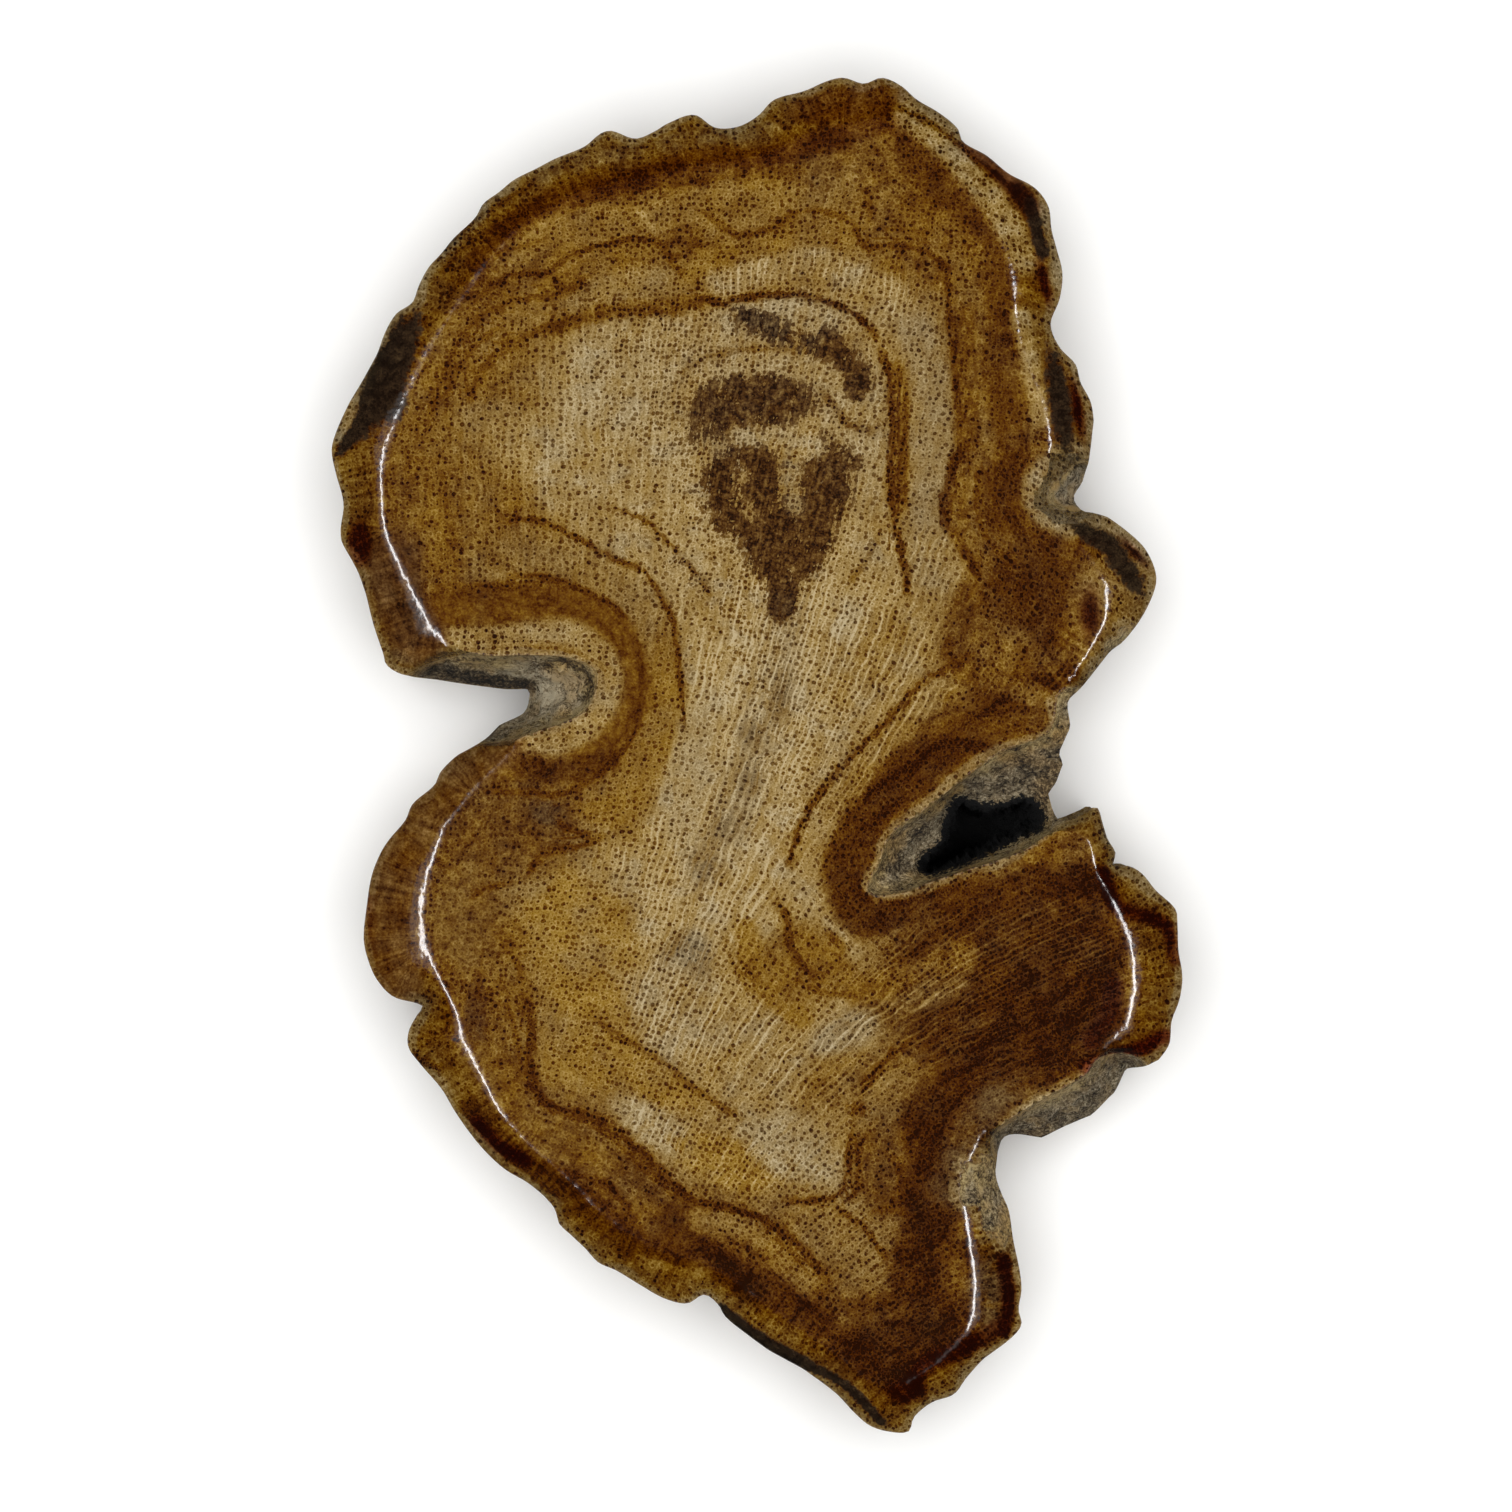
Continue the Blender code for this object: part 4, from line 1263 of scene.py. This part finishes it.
class RindCrust(Effect):
    """Rough weathered rind, grey-tan, with painted shade in its pits and cracks."""

    name = "rind crust"
    inputs = {"Place": "Vector", "Tone": "Float"}
    outputs = {"Color": "Color", "Height": "Float"}
    tones = (
        (0.00, (20, 15, 9)), (0.25, (58, 46, 29)), (0.50, (98, 84, 61)), (0.72, (138, 123, 96)),
        (0.88, (162, 148, 119)), (1.00, (182, 170, 142)),
    )

    def draw(self, sheet: Sheet, given: dict[str, Socket]) -> dict[str, Socket]:
        """Draws lumps and grains, darker in the pits and with dark cracks between the lumps, both painted
        shade.
        """
        lumps = sheet.noise(given["Place"], 0.7, 3.0, 0.62)
        grains = sheet.noise(given["Place"], 3.4, 3.0, 0.75)
        height = sheet.plus(sheet.times(lumps, 0.5), grains, 1.2)
        # Painted shade: the tone follows the relief's height, so the pits are darker.
        tone = sheet.plus(given["Tone"], sheet.plus(-0.85, height), 2.0)
        folds = sheet.noise(given["Place"], 0.9, 3.0, 0.65)
        # Painted shade: dark cracks between the lumps.
        painted_crack_shade = sheet.steps(sheet.calc("ABSOLUTE", sheet.plus(-0.5, folds)), 0.045, 0.005)
        shown = sheet.steps(lumps, 0.56, 0.46)
        tone = sheet.plus(tone, sheet.times(painted_crack_shade, shown), -0.34)
        hue = sheet.noise(given["Place"], 0.35, 2.0)
        tint = sheet.ramp(tone, self.tones)
        warm = sheet.mix(1.0, tint, srgb(240, 214, 166), "MULTIPLY")
        return {"Color": sheet.mix(sheet.steps(hue, 0.45, 0.65, 0.0, 0.6), tint, warm), "Height": height}


class Finish(Enum):
    """The finishes of the stone, in the order of its material slots."""

    POLISHED = 0
    BARK = 1
    SAWN = 2


class StoneFinish:
    """One finish of the stone, drawn with the shared effects."""

    name = ""

    def __init__(self) -> None:
        """Starts an empty material and reads the marks."""
        self.material = bpy.data.materials.new(self.name)
        self.material.use_nodes = True
        self.sheet = Sheet(self.material.node_tree)
        coords = self.sheet.add("TexCoord").outputs["Object"]
        self.place = self.sheet.grow(coords, (1000.0, 1000.0, 1000.0))
        self.marks = {
            mark: socket
            for name, marks in MARK_SETS.items()
            for mark, socket in zip(marks, self.sheet.read(name))
        }

    def wood(self, **changes: object) -> dict[str, Socket]:
        """The fossil wood at this finish's points, with some inputs replaced."""
        values = {name: self.marks[name] for name in FossilWood.inputs if name in self.marks}
        return FossilWood().place(self.sheet, Place=self.place, **(values | changes))

    def shade(self, colour: Socket, rough: object, normal: Socket, **fixed: object) -> None:
        """Ends the material in one shader, a little darker than its colours look under the lights."""
        colour = self.sheet.mix(1.0, colour, (0.84, 0.84, 0.84, 1.0), "MULTIPLY")
        inputs = {"Base Color": colour, "Roughness": rough, "Normal": normal} | fixed
        self.sheet.finish(self.sheet.add("BsdfPrincipled", inputs))


class Polished(StoneFinish):
    """The glossy face and rolled edge, which turn to rough rind in the folds."""

    name = "polished fossil wood"

    def __init__(self) -> None:
        """Draws the polished stone, its bark line, the broken rind and the hollow painted black as shade.
        """
        super().__init__()
        sheet, marks = self.sheet, self.marks
        sway = sheet.noise(self.place, 0.30, 2.0, 0.6)
        grit = sheet.noise(self.place, 1.9, 3.0, 0.65)
        edge = sheet.stir(marks["Crust"], grit, 0.5)
        rough = sheet.steps(edge, 0.0, 0.14)
        strip = sheet.steps(sheet.stir(edge, sway, 1.8), -0.80, -0.35)
        strip = sheet.times(strip, 0.75)
        tone = sheet.plus(marks["Tone"], sheet.calc("SUBTRACT", 0.66, marks["Tone"]), strip)
        grey = sheet.calc("MAXIMUM", marks["Grey"], sheet.times(strip, 0.25))
        gold = sheet.plus(marks["Gold"], sheet.times(marks["Gold"], strip), -0.8)
        wood = self.wood(Tone=tone, Grey=grey, Gold=gold)
        pale_lip = sheet.steps(sheet.stir(edge, sway, 3.0), 1.6, 0.2)
        # Painted light: the rind is made paler down the funnel towards the throat, to offset the shade that
        # falls there.
        painted_funnel_light = sheet.steps(marks["Throat"], -1.8, -0.4, 0.0, 0.12)
        rind_tone = sheet.plus(sheet.plus(marks["Rind"], pale_lip, 0.20), painted_funnel_light)
        rind = RindCrust().place(sheet, Place=self.place, Tone=rind_tone)
        warm = sheet.mix(1.0, rind["Color"], srgb(255, 240, 196), "MULTIPLY")
        crust = sheet.mix(pale_lip, rind["Color"], warm)
        colour = sheet.mix(rough, wood["Color"], crust)
        # Painted shade: the hollow is painted black from a little outside its throat inwards.
        dark = sheet.steps(sheet.stir(marks["Throat"], grit, 2.0), -0.42, -0.28)
        colour = sheet.mix(dark, colour, srgb(0, 0, 0))
        relief = sheet.times(rough, rind["Height"])
        fine = sheet.noise(self.place, 0.8, 2.0, 0.55)
        relief = sheet.plus(relief, fine, 0.10)
        bump = sheet.add("Bump", {"Strength": 0.6, "Distance": 0.0009, "Height": relief})
        gloss = sheet.steps(edge, -0.16, 0.02, 0.13, 0.92)
        self.shade(colour, gloss, bump.outputs[0], IOR=1.54, **{"Specular IOR Level": 0.32})


class Bark(StoneFinish):
    """The rough sides, with streaks that run down from the rim."""

    name = "bark side"

    def __init__(self) -> None:
        """Draws the streaks over the shared rind."""
        super().__init__()
        sheet = self.sheet
        spot = sheet.grow(self.place, (1.0, 1.0, 0.45))
        height = sheet.add("SeparateXYZ", {0: self.place}).outputs[2]
        sway = sheet.noise(self.place, 0.35, 3.0)
        height = sheet.stir(height, sway, 9.0)
        bare = sheet.times(sheet.steps(height, 2.0, 9.0), self.marks["Broken"])
        rind_tone = sheet.plus(0.62, sheet.plus(-0.62, self.marks["Rind"]), bare)
        rind = RindCrust().place(sheet, Place=spot, Tone=rind_tone)
        streaks = sheet.noise(sheet.grow(self.place, (1.5, 1.5, 0.16)), 1.0, 5.0, 0.62)
        tone = sheet.stir(sheet.stir(0.45, streaks, 2.2), rind["Height"], 0.9)
        stain = MineralTint().place(sheet, Tone=tone, Gold=0.7, Grey=0.1, Red=0.0)
        colour = sheet.mix(sheet.line(bare, 0.0, 1.0, 0.55, 0.08), rind["Color"], stain["Color"])
        relief = sheet.plus(sheet.times(rind["Height"], 0.6), streaks, 0.8)
        bump = sheet.add("Bump", {"Strength": 0.7, "Distance": 0.0008, "Height": relief})
        gloss = sheet.line(streaks, 0.2, 0.8, 0.70, 0.95)
        self.shade(colour, gloss, bump.outputs[0], IOR=1.5)


class SawnBack(StoneFinish):
    """The matt sawn back, with faint saw marks."""

    name = "sawn back"

    def __init__(self) -> None:
        """Draws duller wood and straight marks."""
        super().__init__()
        sheet = self.sheet
        wood = self.wood(Ink=0.0)
        dusty = sheet.mix(0.30, wood["Color"], srgb(150, 128, 96))
        marks = sheet.grow(self.place, (0.12, 2.2, 0.0))
        cuts = sheet.noise(marks, 1.0, 4.0, 0.6)
        colour = sheet.mix(sheet.line(cuts, 0.35, 0.7, 0.0, 0.25), dusty, srgb(176, 156, 122))
        bump = sheet.add("Bump", {"Strength": 0.35, "Distance": 0.0003, "Height": cuts})
        gloss = sheet.line(cuts, 0.3, 0.7, 0.55, 0.72)
        self.shade(colour, gloss, bump.outputs[0], IOR=1.5)


@dataclass
class Studio:
    """The pale floor, the soft lights and the camera."""

    camera_height: float = 0.70
    focus_level: float = 0.0155
    floor_size: float = 6.0

    def floor(self) -> bpy.types.Object:
        """Lays a plain pale floor under the stone."""
        shape = bmesh.new()
        bmesh.ops.create_grid(shape, x_segments=1, y_segments=1, size=self.floor_size / 2)
        mesh = bpy.data.meshes.new("floor")
        shape.to_mesh(mesh)
        shape.free()
        floor = bpy.data.objects.new("floor", mesh)
        bpy.context.scene.collection.objects.link(floor)
        material = bpy.data.materials.new("pale floor")
        material.use_nodes = True
        sheet = Sheet(material.node_tree)
        place = sheet.add("TexCoord").outputs["Object"]
        soft = sheet.noise(place, 9.0, 3.0)
        colour = sheet.ramp(soft, ((0.3, (250, 250, 249)), (0.7, (252, 252, 251))))
        sheet.finish(sheet.add("BsdfPrincipled", {"Base Color": colour, "Roughness": 0.9, "IOR": 1.3}))
        mesh.materials.append(material)
        floor.visible_glossy = False
        return floor

    def lamp(
        self, name: str, size: Pixel, place: tuple[float, float, float], power: float
    ) -> bpy.types.Object:
        """Hangs one rectangular light, turned about y towards the stone.

        Args:
            name: The light's name.
            size: Its two sides, in metres.
            place: Its middle.
            power: Its power in watts.

        Returns:
            The light's object.
        """
        light = bpy.data.lights.new(name, "AREA")
        light.shape = "RECTANGLE"
        light.size, light.size_y = size
        light.energy = power
        hung = bpy.data.objects.new(name, light)
        hung.location = place
        hung.rotation_euler = (0.0, math.atan2(place[0], place[2]), 0.0)
        bpy.context.scene.collection.objects.link(hung)
        return hung

    def lights(self) -> None:
        """Hangs a wide soft light that adds no glare, and two strips that only glint."""
        soft = self.lamp("soft overhead", (1.3, 1.3), (0.0, 0.0, 1.3), 27.0)
        soft.visible_glossy = False
        glints = (
            self.lamp("left strip", (0.07, 0.46), (-0.35, -0.07, 0.72), 3.6),
            self.lamp("right strip", (0.09, 0.36), (0.35, -0.07, 0.72), 3.6),
            self.lamp("left glow", (0.40, 0.60), (-0.42, -0.03, 0.78), 0.9),
            self.lamp("right glow", (0.40, 0.54), (0.42, -0.20, 0.78), 0.8),
        )
        for glint in glints:
            glint.visible_diffuse = False

    def surroundings(self) -> None:
        """Sets a room that is dark overhead and light all round."""
        world = bpy.data.worlds.new("soft room")
        world.use_nodes = True
        bpy.context.scene.world = world
        sheet = Sheet(world.node_tree)
        way = sheet.add("TexCoord").outputs["Generated"]
        height = sheet.add("SeparateXYZ", {0: way}).outputs[2]
        level = sheet.ramp(height, (
            (0.0, (120, 119, 117)), (0.35, (120, 119, 117)), (0.75, (80, 79, 78)), (0.97, (20, 20, 20)),
        ))
        sheet.finish(sheet.add("Background", {"Color": level, "Strength": 0.10}), "OutputWorld")

    def camera(self) -> None:
        """Looks straight down on the stone from far enough for a long lens."""
        grid = ViewGrid(SLICE_LENGTH / OUTLINE_ROWS)
        middle = grid.to_mm(np.array([[VIEW_PIXELS / 2, VIEW_PIXELS / 2]]))[0]
        lens = bpy.data.cameras.new("camera")
        lens.sensor_fit = "HORIZONTAL"
        lens.sensor_width = 36.0
        reach = VIEW_PIXELS * grid.mm_per_pixel * MM
        lens.lens = lens.sensor_width * self.camera_height / reach
        lens.clip_start = 0.01
        camera = bpy.data.objects.new("camera", lens)
        camera.location = (*(middle * MM), self.camera_height + self.focus_level)
        bpy.context.scene.collection.objects.link(camera)
        bpy.context.scene.camera = camera

    def build(self) -> None:
        """Sets up the whole studio."""
        self.floor()
        self.lights()
        self.surroundings()
        self.camera()
        bpy.context.scene.view_settings.view_transform = "Standard"


@dataclass(frozen=True)
class MapLayout:
    """Where the parts of the skin lie on the colour map, and their scales in map widths to a millimetre."""

    margin: float = 0.005
    face_scale: float = 0.0085
    back_scale: float = 0.005
    right_column: float = 0.635
    bark_start: float = 0.60
    bark_strips: int = 4
    strip_width: float = 0.36
    strip_rise: float = 0.095
    bark_scale: float = 0.0042


@dataclass
class StoneSlice:
    """The petrified wood slice: one closed stone."""

    solid: bpy.types.Object
    sizes: StoneSizes = field(default_factory=StoneSizes)
    layout: MapLayout = field(default_factory=MapLayout)

    def __post_init__(self) -> None:
        """Reads the outline, the edge of the face and the throat of the hollow from the solid."""
        low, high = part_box(NODE)
        self.top = high.z / MM
        self.grid = ViewGrid((high.y - low.y) / MM / OUTLINE_ROWS)
        step = self.sizes.edge_step
        mouth = self.top - self.sizes.mouth_depth
        bark = level_cuts(self.solid, self.sizes.bark_level)[0]
        edge = level_cuts(self.solid, self.top - self.sizes.face_cut)[0]
        throat = level_cuts(self.solid, mouth - self.sizes.throat_cut)[1]
        self.bark, self.edge, self.throat = (
            Trace(curve_through(thinned(line), spacing, closed=True), closed=True)
            for line, spacing in ((bark, step), (edge, step / 2), (throat, step / 2))
        )

    def brokenness(self, pixels: np.ndarray) -> np.ndarray:
        """Where the edge is broken, from 0 for rolled to 1."""
        return np.max([fold.cover(pixels) for fold in FOLDS], axis=0)

    def heights(self, places: np.ndarray) -> np.ndarray:
        """How high the upper surface lies.

        Args:
            places: Rows of x and y inside the outline, in millimetres.

        Returns:
            One height a place, in millimetres.
        """
        pixels = self.grid.to_pixels(places)
        past_edge = np.maximum(self.edge.signed(places), 0.0)
        to_bark = self.bark.distance(places)
        share = past_edge / (past_edge + to_bark + TINY)
        broken = self.brokenness(pixels)
        rolled = self.sizes.roll_drop * (0.75 * share**1.5 + 0.25 * share**4)
        fallen = self.sizes.broken_drop * share**0.8
        drop = rolled * (1 - broken) + fallen * broken
        into_throat = -self.throat.signed(places)
        to_throat = np.maximum(-into_throat, 0.0)
        apron = past_edge / (past_edge + to_throat + TINY)
        deeper = self.sizes.hollow_depth - self.sizes.mouth_depth
        hollow = self.sizes.mouth_depth * apron**0.8 * np.sign(past_edge)
        hollow += deeper * soft_step(into_throat, 0.0, 0.7)
        zone = HOLLOW_ZONE.cover(pixels)
        drop = drop * (1 - zone) + hollow * zone
        return self.top - drop

    def build(self) -> bpy.types.Object:
        """Builds the closed stone with its marks.

        Returns:
            The stone's object.
        """
        shape = bmesh.new()
        face = self.outline_face(shape)
        self.bark_sides(shape, face)
        self.cut_cells(shape)
        self.lift_face(shape)
        self.refine_steep(shape)
        self.roughen(shape)
        bmesh.ops.recalc_face_normals(shape, faces=shape.faces)
        for item in shape.faces:
            item.smooth = True
        bmesh.ops.scale(shape, vec=(MM, MM, MM), verts=shape.verts)
        mesh = bpy.data.meshes.new("stone slice")
        shape.to_mesh(mesh)
        shape.free()
        mesh.set_sharp_from_angle(angle=math.radians(self.sizes.sharp_angle))
        stone = bpy.data.objects.new("stone_slice", mesh)
        bpy.context.scene.collection.objects.link(stone)
        return stone

    def outline_face(self, shape: bmesh.types.BMesh) -> bmesh.types.BMFace:
        """The upper face as one flat face inside the outline.

        Args:
            shape: The mesh being built.

        Returns:
            The face.
        """
        points = self.bark.points
        made = bmesh.ops.create_circle(shape, cap_ends=True, radius=1.0, segments=len(points))
        for corner, (x, y) in zip(made["verts"], points):
            corner.co = (x, y, self.top)
        shape.faces.ensure_lookup_table()
        return shape.faces[0]

    def bark_sides(self, shape: bmesh.types.BMesh, face: bmesh.types.BMFace) -> None:
        """Runs the outline down to the sawn back in rows, and closes the back.

        Args:
            shape: The mesh being built.
            face: The flat upper face.
        """
        column = shape.verts.layers.int.new("column")
        row = shape.verts.layers.int.new("row")
        corners = list(face.verts)
        for index, corner in enumerate(corners):
            corner[column] = index
        places = np.array([corner.co[:2] for corner in corners])
        rims = self.heights(places)
        rows = round(self.top / self.sizes.bark_row)
        edges = list(face.edges)
        for level in range(1, rows + 1):
            made = bmesh.ops.extrude_edge_only(shape, edges=edges)["geom"]
            for corner in (item for item in made if isinstance(item, bmesh.types.BMVert)):
                corner[row] = level
                corner.co.z = rims[corner[column]] * (1 - level / rows)
            edges = [
                item for item in made
                if isinstance(item, bmesh.types.BMEdge) and all(v[row] == level for v in item.verts)
            ]
        bmesh.ops.contextual_create(shape, geom=edges)

    def cut_cells(self, shape: bmesh.types.BMesh) -> None:
        """Cuts the upper face and the back into small cells.

        Args:
            shape: The mesh being built.
        """
        for height, cell in ((self.top, self.sizes.face_cell), (0.0, self.sizes.back_cell)):
            faces = [f for f in shape.faces if all(abs(v.co.z - height) < TINY for v in f.verts)]
            for axis in (0, 1):
                reach = [v.co[axis] for f in faces for v in f.verts]
                count = max(1, math.ceil((max(reach) - min(reach)) / cell))
                spacing = (max(reach) - min(reach)) / count
                faces = halve(shape, faces, axis, min(reach), spacing, count)

    def lift_face(self, shape: bmesh.types.BMesh) -> None:
        """Moves the flat upper face to its real heights.

        Args:
            shape: The mesh being built.
        """
        level = [v for v in shape.verts if abs(v.co.z - self.top) < TINY]
        places = np.array([v.co[:2] for v in level])
        pixels = self.grid.to_pixels(places)
        feet = self.edge.feet(places)
        close = np.linalg.norm(places - feet, axis=1) < self.sizes.face_cell * 0.52
        close &= np.maximum(self.brokenness(pixels), HOLLOW_ZONE.cover(pixels)) > 0.3
        close &= self.bark.distance(places) > self.sizes.face_cell
        places = np.where(close[:, None], feet, places)
        for corner, (x, y), height in zip(level, places, self.heights(places)):
            corner.co = (x, y, height)

    def refine_steep(self, shape: bmesh.types.BMesh) -> None:
        """Halves the long edges of the aprons and of the hollow's walls.

        Args:
            shape: The mesh being built.
        """
        row = shape.verts.layers.int["row"]
        for _ in range(self.sizes.halvings):
            long = [
                e for e in shape.edges
                if e.calc_length() > self.sizes.longest_edge
                and min(v.co.z for v in e.verts) > 0.5
                and all(v[row] == 0 for v in e.verts)
            ]
            if not long:
                break
            bmesh.ops.subdivide_edges(shape, edges=long, cuts=1)

    def roughen(self, shape: bmesh.types.BMesh) -> None:
        """Breaks up the bark, the aprons and the hollow.

        Args:
            shape: The mesh being built.
        """
        shape.normal_update()
        row = shape.verts.layers.int["row"]
        column = shape.verts.layers.int["column"]
        outward = self.bark.outward()
        face = [v for v in shape.verts if v[row] == 0]
        places = np.array([v.co[:2] for v in face])
        pixels = self.grid.to_pixels(places)
        past_edge = self.edge.signed(places)
        rough = np.maximum(self.brokenness(pixels), HOLLOW_ZONE.cover(pixels))
        rough *= soft_step(past_edge, 0.0, 0.8)
        to_bark = self.bark.distance(places)
        rough *= soft_step(to_bark, 0.0, 0.6)
        for corner, share in zip(face, rough):
            if share < 0.01:
                continue
            pits = noise.fractal(corner.co * 0.9, 0.6, 2.1, 4)
            corner.co += corner.normal * (pits * share * self.sizes.apron_relief)
        for corner in shape.verts:
            if corner[row] == 0 or corner.co.z < TINY:
                continue
            x, y, z = corner.co
            ridge = noise.fractal(Vector((x * 0.45, y * 0.45, z * 0.10)), 0.7, 2.0, 5)
            grit = noise.fractal(Vector((x * 1.6, y * 1.6, z * 0.7)), 0.5, 2.0, 3)
            depth = 0.45 + 0.5 * ridge + 0.18 * grit
            depth = min(max(depth, -0.05), 1.3) * self.sizes.bark_relief
            depth *= min(1.0, corner[row] / 3.0)
            nx, ny = outward[corner[column]]
            corner.co.x -= nx * depth
            corner.co.y -= ny * depth

    def mark(self, stone: bpy.types.Object) -> None:
        """Writes what the stone looks like at each point of its skin.

        Args:
            stone: The stone's object.
        """
        mesh = stone.data
        count = len(mesh.vertices)
        places = corner_places(mesh)[:, :2]
        pixels = self.grid.to_pixels(places)
        to_bark = self.bark.distance(places)
        past_edge = self.edge.signed(places)
        broken = np.maximum(self.brokenness(pixels), HOLLOW_ZONE.cover(pixels))
        to_broken = np.where(broken > 0.5, np.abs(past_edge), 1e3)
        ring = np.minimum(to_bark, to_broken)
        painter = Painter(self.grid, STAINS, GROWTH_LINES)
        levels = painter.marks(pixels, ring)
        rays = ray_coordinates(self.grid, places)
        nudge = 0.05
        rises = []
        for step in (np.array((nudge, 0.0)), np.array((0.0, nudge))):
            ahead = ray_coordinates(self.grid, places + step)
            behind = ray_coordinates(self.grid, places - step)
            rises.append((ahead - behind) / nudge / 2)
        fan, pull = np.maximum(np.hypot(*rises), 0.1).T
        side, ink = painter.ink(places, self.bark)
        crust = past_edge * broken - to_bark * (1 - broken)
        ragged = np.array([noise.fractal((x * 0.6, y * 0.6, 0.0), 0.6, 2.0, 4) for x, y in places])
        cover = LIP.cover(pixels)
        crust = np.where(cover > 0.0, np.minimum(crust, 0.5 - cover + ragged * 0.4), crust)
        for chip in CHIPS:
            cover = chip.cover(pixels)
            bare = (cover - 0.5 + ragged * 0.45) * 1.5
            crust = np.where(cover > 0.0, np.maximum(crust, bare), crust)
        marks = {name.capitalize(): level for name, level in levels.items()} | {
            "Ring": ring,
            "Side": side,
            "Ink": ink,
            "Station": self.bark.station(places) * self.sizes.edge_step,
            "Across": rays[:, 0],
            "Along": rays[:, 1],
            "Fan": fan,
            "Crust": crust,
            "Throat": np.clip(-self.throat.signed(places), -2.0, 2.0),
            "Pull": pull,
            "Broken": broken,
        }
        for name, columns in MARK_SETS.items():
            rows = np.zeros((count, 3), np.float32)
            for index, column in enumerate(columns):
                rows[:, index] = marks[column]
            layer = mesh.attributes.new(name, "FLOAT_VECTOR", "POINT")
            layer.data.foreach_set("vector", rows.ravel())

    def lay_flat(self, stone: bpy.types.Object) -> None:
        """Lays the skin out for the colour map: the face large, the back small, the bark in strips.

        Args:
            stone: The stone's object, with its finishes.
        """
        mesh = stone.data
        layout = self.layout
        spots = corner_places(mesh)
        low, high = spots.min(axis=0), spots.max(axis=0)
        rows = np.array([item.value for item in mesh.attributes["row"].data])
        columns = np.array([item.value for item in mesh.attributes["column"].data])
        around = np.where(rows > 0, columns, self.bark.station(spots[:, :2]))
        count = len(self.bark.points)
        strip_length = math.ceil(count / layout.bark_strips)
        corners = np.empty(len(mesh.loops), dtype=np.int64)
        mesh.loops.foreach_get("vertex_index", corners)
        places = np.empty((len(corners), 2))
        for item in mesh.polygons:
            span = slice(item.loop_start, item.loop_start + item.loop_total)
            found = corners[span]
            spot = spots[found]
            if item.material_index == Finish.POLISHED.value:
                places[span] = layout.margin + (spot[:, :2] - low[:2]) * layout.face_scale
            elif item.material_index == Finish.SAWN.value:
                across = (high[0] - spot[:, 0]) * layout.back_scale
                up = (spot[:, 1] - low[1]) * layout.back_scale
                places[span] = np.column_stack([layout.right_column + across, layout.margin + up])
            else:
                turn = around[found]
                if np.ptp(turn) > count / 2:
                    turn = np.where(turn < count / 2, turn + count, turn)
                strip = int(turn.min() // strip_length)
                across = (turn - strip * strip_length) * layout.strip_width / (strip_length + 1)
                up = layout.strip_rise * strip + spot[:, 2] * layout.bark_scale
                places[span] = np.column_stack([layout.right_column + across, layout.bark_start + up])
        mesh.uv_layers.new(name="OFBake").data.foreach_set("uv", places.ravel())

    def dress(self, stone: bpy.types.Object) -> None:
        """Gives each part of the skin its finish.

        Args:
            stone: The stone's object.
        """
        mesh = stone.data
        for finish in (Polished(), Bark(), SawnBack()):
            mesh.materials.append(finish.material)
        layer = mesh.attributes["row"].data
        rows = np.array([item.value for item in layer])
        high = np.array([corner.co.z for corner in mesh.vertices]) > TINY
        for item in mesh.polygons:
            corners = list(item.vertices)
            if not high[corners].any():
                item.material_index = Finish.SAWN.value
            elif rows[corners].any():
                item.material_index = Finish.BARK.value
            else:
                item.material_index = Finish.POLISHED.value


def corner_places(mesh: bpy.types.Mesh) -> np.ndarray:
    """Where a mesh's corners lie, in millimetres."""
    spots = np.empty(len(mesh.vertices) * 3)
    mesh.vertices.foreach_get("co", spots)
    return spots.reshape(-1, 3) / MM


def thinned(line: np.ndarray, least: float = 0.25) -> np.ndarray:
    """A closed line without points that nearly coincide.

    Args:
        line: Rows of x and y.
        least: The smallest step kept, in millimetres.

    Returns:
        The kept rows.
    """
    kept = [line[0]]
    for point in line[1:]:
        if np.linalg.norm(point - kept[-1]) >= least:
            kept.append(point)
    if np.linalg.norm(kept[-1] - kept[0]) < least:
        kept.pop()
    return np.array(kept)


def halve(
    shape: bmesh.types.BMesh,
    faces: list[bmesh.types.BMFace],
    axis: int,
    low: float,
    spacing: float,
    count: int,
) -> list[bmesh.types.BMFace]:
    """Cuts a patch of faces into even strips by halving it again and again.

    Args:
        shape: The mesh being built.
        faces: The patch.
        axis: 0 to cut across x, 1 to cut across y.
        low: Where the patch starts on that axis.
        spacing: How wide a strip is.
        count: How many strips the patch holds.

    Returns:
        The patch's faces after the cuts.
    """
    if count < 2 or not faces:
        return faces
    middle = low + (count // 2) * spacing
    spot, way = [0.0, 0.0, 0.0], [0.0, 0.0, 0.0]
    spot[axis], way[axis] = middle, 1.0
    edges = dict.fromkeys(edge for item in faces for edge in item.edges)
    corners = dict.fromkeys(corner for item in faces for corner in item.verts)
    cut = bmesh.ops.bisect_plane(
        shape, geom=[*corners, *edges, *faces], dist=1e-5, plane_co=spot, plane_no=way
    )
    near, far = [], []
    for item in cut["geom"]:
        if isinstance(item, bmesh.types.BMFace):
            centre = item.calc_center_median()
            (near if centre[axis] < middle else far).append(item)
    return halve(shape, near, axis, low, spacing, count // 2) + halve(
        shape, far, axis, middle, spacing, count - count // 2
    )


def main() -> None:
    """Builds the stone, the floor, the lights and the camera."""
    logging.basicConfig(level=logging.INFO, format="%(message)s")
    Studio().build()
    stone = StoneSlice(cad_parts[NODE])
    piece = stone.build()
    stone.mark(piece)
    stone.dress(piece)
    stone.lay_flat(piece)
    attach(piece, "root")
    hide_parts(NODE)
    log.info("%s: %d faces", piece.name, len(piece.data.polygons))


if __name__ == "__main__":
    main()
